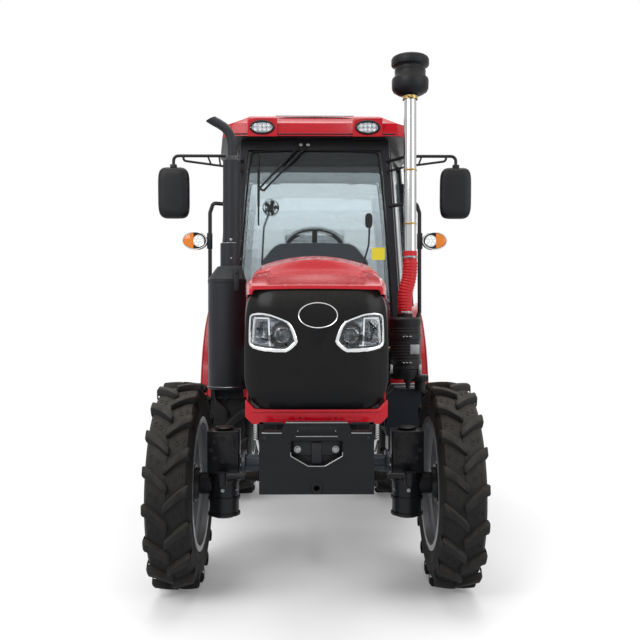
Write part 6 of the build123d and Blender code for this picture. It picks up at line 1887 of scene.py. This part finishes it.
@dataclass
class Mirrors:
    """Mirror heads with their glass, the arms' struts, and the lamps on the handrails."""

    x: float = 0.865
    y: float = from_front(0.950)
    low: float = 1.923
    high: float = 2.236

    def head(self) -> bpy.types.Object:
        """Return one head: a domed back to the front, a rim and the glass behind."""
        middle = ((self.low + self.high) / 2)
        rows = []
        for share, y in ((0.50, -0.0278), (0.80, -0.0255), (0.93, -0.020), (0.985, -0.008), (1.0, 0.004),
                         (1.0, 0.026), (0.975, 0.028), (0.93, 0.028), (0.92, 0.022)):
            wide, tall = 0.095 * share, 0.1565 * share if share > 0.9 else 0.1565 - 0.095 * (1 - share)
            outline = oval((self.x, middle), wide, tall, 56, 5.0)
            rows.append([(px + 0.010 * (pz - middle), self.y + y, pz) for px, pz in outline])
        shell = dress(loft("shell", rows, 40.0), Skin.PLASTIC)
        outline = oval((self.x, middle), 0.0872, 0.1436, 56, 5.0)
        points = [(px + 0.010 * (pz - middle), pz) for px, pz in outline]
        glass = dress(prism("mirror_glass", points, "Y", self.y + 0.0215, self.y + 0.0245), Skin.MIRROR)
        return joined("mirror_head", [shell, glass])

    def build(self) -> None:
        """Make and dress the pieces."""
        finished(pair("mirror_heads", self.head()), "chassis", stands_for=["mirrors"])
        parts = []
        root = CAB_HALF - CAB_LEAN * 1.305 + 0.102
        for step, (top, low) in enumerate(((0.02, 0.012), (0.09, 0.07))):
            parts.append(dress(tube(f"strut_{step}", [(root + top, self.y, 2.305),
                (root + low, self.y, 2.243 + 0.012 * step)], 0.0055), Skin.BLACK))
        clamp = dress(slab("post_clamp", (self.x - 0.020, self.y - 0.016, 2.226),
                           (self.x + 0.020, self.y + 0.016, 2.252), 0.004), Skin.BLACK)
        foot = dress(slab("arm_foot", (0.452, from_front(1.118), 2.220), (0.480, from_front(1.140), 2.330), 0.004),
                     Skin.BLACK)
        finished(pair("mirror_arms", joined("one_arm", parts + [clamp, foot])), "chassis")
        self.lamps()

    def lamps(self) -> None:
        """Make the front indicators on the rails and the lamps on the rear fenders."""
        x, y, z = 0.742, from_front(1.010) - 0.024, 1.790
        rows = []
        for grow, out in ((0.0, 0.046), (0.0, 0.004), (-0.002, 0.0), (-0.007, 0.0), (-0.009, 0.006),
                          (-0.009, 0.046)):
            rows.append(in_plane(oval((x, z), 0.078 + grow, 0.057 + grow, 56), y + out))
        bezel = dress(loft("lamp_bezel", rows, 50.0, capped=False), Skin.CHROME)
        inside = oval((x, z), 0.0685, 0.0475, 56)
        back = dress(prism("lamp_back", inside, "Y", y + 0.012, y + 0.046), Skin.BLACK)
        amber_line = sorted((point for point in inside if point[0] > x + 0.006), key=lambda point: point[1])
        amber = dress(prism("amber_part", amber_line, "Y", y + 0.002, y + 0.012, 0.001), Skin.AMBER)
        disc = dress(lathe("white_part", [(0, 0.003), (0.034, 0.004), (0.037, 0.007), (0.037, 0.012), (0, 0.012)],
                           (x - 0.022, y, z), "Y", 40), Skin.CHROME)
        cup = lathe("dot", [(0, 0.0035), (0.0055, 0.0015), (0.0078, 0.0018), (0.0082, 0.005), (0, 0.005)],
                    (0, 0, 0), "Y", 20)
        ring_item = copied("dot_out", cup, Matrix.Translation((0.0215, 0, 0)))
        dots = Repeat("dots", ring_item, Skin.WHITE).round_axis(6, (0, 1, 0), (x - 0.022, y - 0.001, z))
        cup.data.transform(Matrix.Translation((x - 0.022, y - 0.001, z)))
        front = joined("front_lamp", [bezel, back, amber, disc, dots, dress(cup, Skin.WHITE)])
        lean = math.radians(31)
        tail_y, tail_z = REAR_Y + FENDER_RADIUS * math.cos(lean), REAR_RADIUS + FENDER_RADIUS * math.sin(lean)
        box = dress(slab("tail_box", (0.635, tail_y - 0.045, tail_z - 0.056),
                         (0.735, tail_y + 0.020, tail_z + 0.056), 0.006), Skin.PLASTIC)
        red = dress(slab("tail_red", (0.641, tail_y + 0.018, tail_z - 0.050),
                         (0.729, tail_y + 0.034, tail_z - 0.002), 0.005), Skin.RED)
        turn = dress(slab("tail_amber", (0.641, tail_y + 0.018, tail_z + 0.002),
                          (0.729, tail_y + 0.034, tail_z + 0.050), 0.005), Skin.AMBER)
        rear = joined("rear_lamp", [box, red, turn])
        finished(pair("signal_lamps", joined("lamp_pair", [front, rear])), "chassis",
                 stands_for=["indicator_lamps"])
        bracket = dress(slab("lamp_bracket", (0.636, y + 0.010, z - 0.050), (0.668, y + 0.040, z + 0.050), 0.005),
                        Skin.PLASTIC)
        finished(pair("lamp_brackets", bracket), "chassis")


@dataclass
class Inside:
    """The driver's seat, the dash, the steering wheel's boss and the controls."""

    seat_y: float = from_front(1.880)
    seat_z: float = 1.470
    wide: float = 0.46

    def cushion(self, name: str, low: Point, high: Point, bulge: float, axis: int) -> bpy.types.Object:
        """Return a sewn cushion: crowned, pulled in between its corners, with a piped edge.

        Args:
            name: the object's name.
            low: one corner of its box.
            high: the opposite corner.
            bulge: how far its face crowns within the box.
            axis: 2 when it faces up, 1 when it faces the front.

        Returns:
            The cushion.
        """
        build = bmesh.new()
        bmesh.ops.create_cube(build, size=2.0)
        bmesh.ops.subdivide_edges(build, edges=build.edges[:], cuts=13, use_grid_fill=True)
        middle = [(a + b) / 2 for a, b in zip(low, high)]
        half = [(b - a) / 2 for a, b in zip(low, high)]
        others = [i for i in range(3) if i != axis]
        for vertex in build.verts:
            place = list(vertex.co)
            u, v = (place[i] for i in others)
            face = place[axis]
            reach = (1 - abs(u) ** 3.2) * (1 - abs(v) ** 3.2)
            side = 1 - face ** 4
            for i, other in zip(others, (v, u)):
                pull = 0.028 * (1 - other ** 2) * abs(place[i]) ** 5
                place[i] *= 1 - pull - 0.035 * (1 - side) - 0.02 * side * abs(face)
            seam = 0.0
            for line in (-0.46, 0.46):
                seam += math.exp(-((u - line) / 0.035) ** 2)
            channel = sum(math.exp(-((v - line) / 0.03) ** 2) for line in (-0.35, 0.05,
                0.45)) if abs(u) < 0.44 else 0.0
            depth = bulge / half[axis]
            front = 1.0 if face > 0 else -1.0
            if axis == 1:
                front = -front
            thick = 1 - depth + depth * reach
            if front > 0:
                thick -= (0.16 * seam + 0.10 * channel) * depth * max(0.0, reach) ** 0.5 * 1.6
            place[axis] = face * max(0.2, thick)
            vertex.co = Vector([m + h * p for m, h, p in zip(middle, half, place)])
        mesh = bpy.data.meshes.new(name)
        build.to_mesh(mesh)
        build.free()
        thing = new_object(name, mesh)
        smooth = thing.modifiers.new("smooth", "SUBSURF")
        smooth.levels = smooth.render_levels = 1
        result = baked(thing)
        shade(result.data, 180.0)
        return result

    def build(self) -> None:
        """Make and dress the pieces."""
        y, z, half = self.seat_y, self.seat_z, self.wide / 2
        base = self.cushion("seat_cushion", (-half, y - 0.240, z - 0.110), (half, y + 0.205, z), 0.030, 2)
        finished(base, "chassis", Skin.FABRIC)
        back = self.cushion("seat_back", (-half + 0.005, y + 0.160, z + 0.004),
                            (half - 0.005, y + 0.262, z + 0.478), 0.028, 1)
        finished(back, "chassis", Skin.FABRIC)
        frame_parts = [dress(slab("pedestal", (-0.150, y - 0.170, 1.0), (0.150, y + 0.170, z - 0.112), 0.012),
                             Skin.PLASTIC)]
        frame_parts.append(dress(slab("seat_pan", (-half + 0.02, y - 0.22, z - 0.128),
                                      (half - 0.02, y + 0.20, z - 0.104), 0.008), Skin.BLACK))
        for side in SIDES.values():
            rest = tube("armrest", [(side * (half + 0.012), y + 0.20, z + 0.02),
                                    (side * (half + 0.016), y + 0.18, z + 0.17),
                                    (side * (half + 0.016), y - 0.06, z + 0.19)], 0.018)
            frame_parts.append(dress(rest, Skin.PLASTIC))
        finished(joined("seat_frame", frame_parts), "chassis", stands_for=["seat"])

        y0, y1 = from_front(1.200), from_front(1.400)
        body = prism("dash_body", [(y0, 1.0), (y1, 1.0), (y1, 1.668), (y1 - 0.060, 1.786), (y0, 1.786)], "X",
                     -0.229, 0.229, 0.012)
        rows = []
        for yy, grow in ((y0 - 0.010, 0.97), (y0, 1.0), (y0 + 0.06, 1.0), (y1 - 0.07, 0.985), (y1 - 0.05, 0.95)):
            outline = []
            for x, z in ((-0.345, 1.655), (-0.345, 1.672), (-0.325, 1.700), (-0.290, 1.745), (-0.262, 1.775),
                         (-0.225, 1.794), (-0.12, 1.7995), (0.0, 1.801),
                         (0.12, 1.7995), (0.225, 1.794), (0.262, 1.775), (0.290, 1.745), (0.325, 1.700),
                         (0.345, 1.672), (0.345, 1.655), (0.20, 1.64), (-0.20, 1.64)):
                outline.append((x * grow, yy, 1.64 + (z - 1.64) * grow))
            rows.append(outline)
        cowl = loft("cowl", rows, 35.0)
        dials = []
        for x, r in ((0.0, 0.052), (-0.115, 0.036), (0.115, 0.036)):
            dial = lathe("dial", [(0, -0.004), (r - 0.005, -0.004), (r - 0.003, 0.004), (r, 0.003), (r, -0.010),
                                  (0, -0.010)], (0, 0, 0), "Y", 36)
            place = Matrix.Translation((x, y1 - 0.028, 1.728)) @ Matrix.Rotation(math.radians(-27), 4, "X")
            dials.append(dress(moved(dial, place), Skin.BLACK))
        panel = [dress(body, Skin.PLASTIC), dress(cowl, Skin.COWL)] + dials
        finished(joined("dash_panel", panel), "chassis", stands_for=["dash"])

        levers = []
        for x, yy, high, r in ((0.40, from_front(1.75), 1.42, 0.018), (0.43, from_front(1.85), 1.40, 0.015),
                               (-0.40, from_front(1.80), 1.44, 0.018)):
            levers.append(dress(tube("lever", [(x, yy, 1.01), (x * 0.99, yy - 0.02, high)], 0.007), Skin.BLACK))
            levers.append(dress(lathe("knob", [(0, high - 0.01), (r * 0.7, high), (r, high + 0.018),
                (r * 0.8, high + 0.036), (0, high + 0.042)], (x * 0.99, yy - 0.02, 0), "Z", 24), Skin.PLASTIC))
        for x, wide in ((0.13, 0.035), (0.235, 0.03), (-0.2, 0.04)):
            levers.append(dress(tube("pedal_arm", [(x, y1 + 0.01, 1.18), (x, y1 + 0.06, 1.10),
                (x, y1 + 0.08, 1.06)], 0.007), Skin.BLACK))
            levers.append(dress(slab("pedal", (x - wide, y1 + 0.068, 1.045), (x + wide, y1 + 0.085, 1.105), 0.004),
                                Skin.RUBBER))
        stalk = [(0.30, from_front(1.16), 1.62), (0.345, from_front(1.155), 1.78), (0.350, from_front(1.150), 1.90)]
        levers.append(dress(tube("inner_mirror_arm", stalk, 0.006), Skin.BLACK))
        levers.append(dress(prism("inner_mirror", oval((0.345, 1.935), 0.024, 0.047, 32, 3.0), "Y",
                                  from_front(1.140), from_front(1.160), 0.006), Skin.PLASTIC))
        spot = (-0.285, from_front(1.22), 2.03)
        levers.append(dress(lathe("fan_motor", [(0, -0.022), (0.018, -0.020), (0.020, 0.02), (0, 0.024)], spot, "Y",
                                  24), Skin.PLASTIC))
        for radius, out in ((0.050, 0.0), (0.052, 0.014), (0.034, -0.012)):
            circle = [(spot[0] + radius * math.cos(a), spot[1] + out,
                       spot[2] + radius * math.sin(a)) for a in (math.tau * i / 24 for i in range(24))]
            levers.append(dress(tube("guard", circle, 0.0028, ring=True, sides=2), Skin.PLASTIC))
        blade = slab("blade", (0.014, -0.002, -0.012), (0.046, 0.004, 0.012), 0.0015)
        levers.append(Repeat("fan_blades", blade, Skin.PLASTIC).round_axis(5, (0, 1, 0), spot))
        levers.append(dress(tube("fan_arm", [(-0.285, from_front(1.24), 2.03), (-0.33, from_front(1.22), 1.90),
            (-0.34, from_front(1.19), 1.66)], 0.006), Skin.BLACK))
        finished(joined("controls", levers), "chassis")
        boss = [(0, 0.022), (0.030, 0.020), (0.044, 0.010), (0.050, -0.004), (0.046, -0.012), (0, -0.012)]
        hub = lathe("wheel_boss_cover", boss, (0, 0, 0), "Z", 40)
        place = Matrix.Translation((0, from_front(1.480), 1.810)) @ Matrix.Rotation(math.radians(-28), 4, "X")
        finished(moved(hub, place), "chassis", Skin.PLASTIC)


@dataclass
class Rear:
    """Fender edges, tank fittings, step treads, the rear case's couplers and the engine's side parts."""

    def build(self) -> None:
        """Make and dress the pieces."""
        parts = []
        for radius, x in ((0.7425, 0.7555), (0.7425, 0.4045)):
            line = []
            for k in range(25):
                a = math.radians(7 + 166 * k / 24)
                line.append((x, REAR_Y - radius * math.cos(a), REAR_RADIUS + radius * math.sin(a)))
            parts.append(dress(tube("fender_edge", line, 0.006, smooth=True, sides=3),
                               Skin.RED if x > 0.5 else Skin.BLACK))
        finished(pair("fender_edges", joined("edges", parts)), "chassis")

        y = from_front(0.66)
        cap = lathe("tank_cap", [(0, 0.985), (0.040, 0.985), (0.046, 0.978), (0.046, 0.948), (0.040, 0.944),
                                 (0.032, 0.944), (0.032, 0.893), (0, 0.893)], (0.606, y, 0), "Z", 40)
        rib = slab("cap_rib", (0.0445, -0.003, 0.948), (0.0485, 0.003, 0.979), 0.0015)
        ribs = Repeat("cap_ribs", rib, Skin.PLASTIC).round_axis(18, (0, 0, 1), (0.606, y, 0))
        parts = [dress(cap, Skin.PLASTIC), ribs]
        for yy in (0.80, 1.02):
            band = [(0.4175, 0.640), (0.612, 0.6235), (0.6445, 0.664), (0.6445, 0.9025), (0.476, 0.9025),
                    (0.4145, 0.838), (0.4145, 0.640)]
            route = [(x, from_front(yy), z) for x, z in band]
            parts.append(dress(tube("tank_strap", route, 0.0035, sides=2), Skin.STEEL))
        finished(joined("tank_fittings", parts), "chassis")

        y1 = REAR_Y - FENDER_RADIUS - 0.008
        y0 = y1 - 0.190
        parts = []
        for z in (0.480, 0.730):
            tooth = prism("tooth", [(-0.004, 0.0), (0.004, 0.0), (0.0, 0.006)], "X", 0.478, 0.662)
            parts.append(Repeat("teeth", tooth, Skin.BLACK).in_row(9, (0, 0.0205, 0),
                (0.0, y0 + 0.013, z - 0.0005)))
            parts.append(dress(tube("step_lip", [(0.6695, y0 + 0.004, z - 0.004), (0.6695, y1 - 0.004, z - 0.004)],
                                    0.005), Skin.BLACK))
        finished(joined("step_treads", parts), "chassis")

        parts = []
        back = REAR_Y + 0.110
        shield = prism("pto_shield", [(-0.085, 0.700), (-0.085, 0.625), (-0.078, 0.625), (-0.078, 0.693),
                                      (0.078, 0.693), (0.078, 0.625), (0.085, 0.625), (0.085, 0.700)], "Y", back,
                                      back + 0.085, 0.002)
        parts.append(dress(shield, Skin.BLACK))
        spline = slab("spline", (-0.0016, 0.0172, 0.0), (0.0016, 0.0196, 0.060), 0.0006)
        spline.data.transform(Matrix.Rotation(math.radians(-90), 4, "X"))
        splines = Repeat("splines", spline, Skin.STEEL).round_axis(6, (0, 1, 0), (0, back + 0.012, 0.640))
        parts.append(splines)
        for x in (-0.105, -0.065, 0.065, 0.105):
            body = [(0, 0.0), (0.015, 0.0), (0.016, 0.018), (0.012, 0.020), (0.012, 0.038), (0, 0.038)]
            cap = [(0, 0.036), (0.017, 0.036), (0.018, 0.050), (0.010, 0.054), (0, 0.054)]
            parts.append(dress(lathe("coupler", body, (x, back, 0.800), "Y", 20), Skin.STEEL))
            cover = lathe("coupler_cap", cap, (x, back, 0.800), "Y", 20)
            parts.append(dress(cover, Skin.HOSE if x < 0 else Skin.PLASTIC))
        for x in (-0.148, 0.148):
            row = Repeat("case_bolts", bolt(0.010, 0.009, "Y", 1), Skin.STEEL)
            parts.append(row.in_row(4, (0.0, 0.0, 0.085), (x, back, 0.500)))
        finished(joined("rear_case_details", parts), "chassis")

        parts = []
        fins = slab("engine_fin", (0.1185, 0.0, -0.20), (0.128, 0.008, 0.08), 0.002)
        fin_rows = Repeat("engine_fins", fins, Skin.IRON).in_row(9, (0, 0.055, 0), (0.0, from_front(-0.30), 1.06))
        parts.append(fin_rows)
        parts.append(dress(lathe("oil_filter", [(0, 0.0), (0.040, 0.0), (0.044, 0.010), (0.044, 0.095),
            (0.036, 0.105), (0, 0.105)], (0.165, from_front(0.16), 0.86), "Z", 32), Skin.SILVER))
        parts.append(dress(slab("filter_seat", (0.116, from_front(0.11), 0.960), (0.205, from_front(0.21), 0.990),
                                0.006), Skin.IRON))
        parts.append(dress(slab("side_cover", (0.116, from_front(-0.25), 0.84), (0.134, from_front(0.05), 1.02),
                                0.006), Skin.IRON))
        parts.append(dress(tube("injection_line", [(0.125, from_front(-0.24), 1.18),
            (0.165, from_front(-0.24), 1.19), (0.165, from_front(0.20), 1.19), (0.125, from_front(0.22), 1.18)],
            0.008), Skin.STEEL))
        finished(joined("engine_left_side", parts), "chassis")
        parts = [dress(lathe("starter", [(0, -0.10), (0.040, -0.10), (0.044, -0.09), (0.044, 0.08), (0.036, 0.10),
            (0, 0.10)], (-0.166, from_front(0.18), 0.80), "Y", 32), Skin.IRON)]
        parts.append(dress(slab("starter_foot", (-0.190, from_front(0.17), 0.74), (-0.117, from_front(0.25), 0.86),
                                0.006), Skin.IRON))
        parts.append(dress(tube("manifold", [(-0.122, from_front(-0.20), 1.14), (-0.185, from_front(-0.18), 1.14),
            (-0.185, from_front(0.16), 1.14), (-0.185, from_front(0.24), 1.02)], 0.026), Skin.IRON))
        finished(joined("engine_right_side", parts), "chassis")


def looked_at(tree: bpy.types.NodeTree) -> bpy.types.NodeSocket:
    """Return 1 for what the camera sees directly, through glass or in a reflection."""
    path = add_node(tree, "ShaderNodeLightPath").outputs
    first = calculated(tree, "MAXIMUM", path["Is Camera Ray"], path["Is Transmission Ray"])
    return calculated(tree, "MAXIMUM", first, path["Is Glossy Ray"])


# The studio's area lights: name, place, size in metres and power in watts.
LIGHTS = (
    ("key", (-4.5, -6.5, 6.0), 5.0, 420.0),
    ("fill", (6.0, -5.0, 4.0), 5.0, 230.0),
    ("top", (0.0, 0.5, 8.0), 6.0, 330.0),
    ("back", (0.0, 7.0, 5.0), 5.0, 160.0),
)
LIT_PLACE = Vector((0, -0.3, 1.1))
# The photograph's camera: level, about 1.3 m above the ground, turned by half a degree.
CAMERA_PLACE = (-0.018, -4.941, 1.300)
CAMERA_TURN = -0.58
LENS_MM, SENSOR_MM = 44.49, 36.0
# The floor fades to white between these distances from the origin, in metres.
FADE_FROM, FADE_TO = 1.5, 3.4


def add_to_scene(name: str, data: bpy.types.ID, place: Point, turn: Euler) -> bpy.types.Object:
    """Put a light or a camera into the scene at a place, turned."""
    holder = bpy.data.objects.new(name, data)
    holder.location, holder.rotation_euler = place, turn
    bpy.context.scene.collection.objects.link(holder)
    return holder


def set_stage() -> None:
    """Make the floor, the soft studio light and the camera at the photograph's angle."""
    bpy.ops.mesh.primitive_plane_add(size=80, location=(0, 0, -0.001))
    floor = bpy.context.object
    floor.name = "floor"
    material = bpy.data.materials.new("studio_floor")
    material.use_nodes = True
    tree = material.node_tree
    tree.nodes.clear()
    # Past a few metres the floor shows the plain white of the background, so that no horizon is seen.
    matte = add_node(tree, "ShaderNodeBsdfDiffuse", {"Color": (0.92, 0.92, 0.92, 1)})
    white = add_node(tree, "ShaderNodeEmission", {"Color": (1, 1, 1, 1), "Strength": 1.0})
    place = add_node(tree, "ShaderNodeTexCoord").outputs["Object"]
    reach = add_node(tree, "ShaderNodeVectorMath", {0: place}, operation="LENGTH").outputs["Value"]
    far = add_node(tree, "ShaderNodeMapRange", {
        "Value": reach, "From Min": FADE_FROM, "From Max": FADE_TO, "To Min": 0.12})
    share = calculated(tree, "MULTIPLY", far.outputs[0], looked_at(tree))
    both = add_node(tree, "ShaderNodeMixShader", {0: share, 1: matte.outputs[0], 2: white.outputs[0]})
    add_node(tree, "ShaderNodeOutputMaterial", {"Surface": both.outputs[0]})
    floor.data.materials.append(material)

    world = bpy.data.worlds.new("studio")
    bpy.context.scene.world = world
    world.use_nodes = True
    tree = world.node_tree
    tree.nodes.clear()
    strength = add_node(tree, "ShaderNodeMapRange", {"Value": looked_at(tree), "To Min": 0.55, "To Max": 1.0})
    sky = add_node(tree, "ShaderNodeBackground", {"Color": (1, 1, 1, 1), "Strength": strength.outputs[0]})
    add_node(tree, "ShaderNodeOutputWorld", {"Surface": sky.outputs[0]})

    for name, place, size, power in LIGHTS:
        lamp = bpy.data.lights.new(name, "AREA")
        lamp.energy, lamp.size = power, size
        add_to_scene(name, lamp, place, (LIT_PLACE - Vector(place)).to_track_quat("-Z", "Y").to_euler())

    camera = bpy.data.cameras.new("camera")
    camera.lens, camera.sensor_width = LENS_MM, SENSOR_MM
    level = Euler((math.radians(90), 0, math.radians(CAMERA_TURN)))
    bpy.context.scene.camera = add_to_scene("camera", camera, CAMERA_PLACE, level)
    bpy.context.scene.view_settings.view_transform = "Standard"


WHEELS = {
    "front": dict(radius=FRONT_RADIUS, width=0.210, tread=0.196, seat=0.305, track=1.310, y=FRONT_Y, lugs=18,
                  lug_height=0.027,
                  disc_in=0.050, nuts=8, nut_circle=0.066, phase=12.55),
    "rear": dict(radius=REAR_RADIUS, width=0.300, tread=0.276, seat=0.406, track=1.190, y=REAR_Y, lugs=20,
                 lug_height=0.030,
                 disc_in=0.080, nuts=8, nut_circle=0.080, phase=1.81),
}

CARRIED = {
    Skin.BLACK: ("steps", "cab_frame", "cab_floor", "door_left", "door_right", "handrails", "lower_links",
                 "lift_arms",
                 "lift_rods", "top_link", "drawbar", "firewall", "knuckle_left", "knuckle_right", "front_frame",
                 "radiator", "steering_rod"),
    Skin.PLATE: ("ballast_plate",),
    Skin.IRON: ("engine_block", "transaxle", "steering_cylinder"),
    Skin.RED: ("fenders",),
    Skin.PLASTIC: ("steering_wheel", "roof_cap"),
    Skin.TANK: ("fuel_tank",),
    Skin.GLASS: ("cab_glass", "door_glass_left", "door_glass_right"),
}


def main() -> None:
    """Build every sub-assembly in order, then dress the CAD nodes that stay."""
    logging.basicConfig(level=logging.INFO, format="%(message)s")
    set_stage()
    for skin, nodes in CARRIED.items():
        for node in nodes:
            dress(frame["nodes"][node], skin)
    for end, sizes in WHEELS.items():
        for side in SIDES:
            Wheel(end=end, side=side, **sizes).build()
    Exhaust().build()
    Intake().build()
    nose = Nose()
    nose.build()
    Headlamp(nose).build()
    for piece in (FrontEnd(), FrontAxle(), Roof(), CabTrim(), Mirrors(), Inside(), Rear()):
        piece.build()


if __name__ == "__main__":
    main()
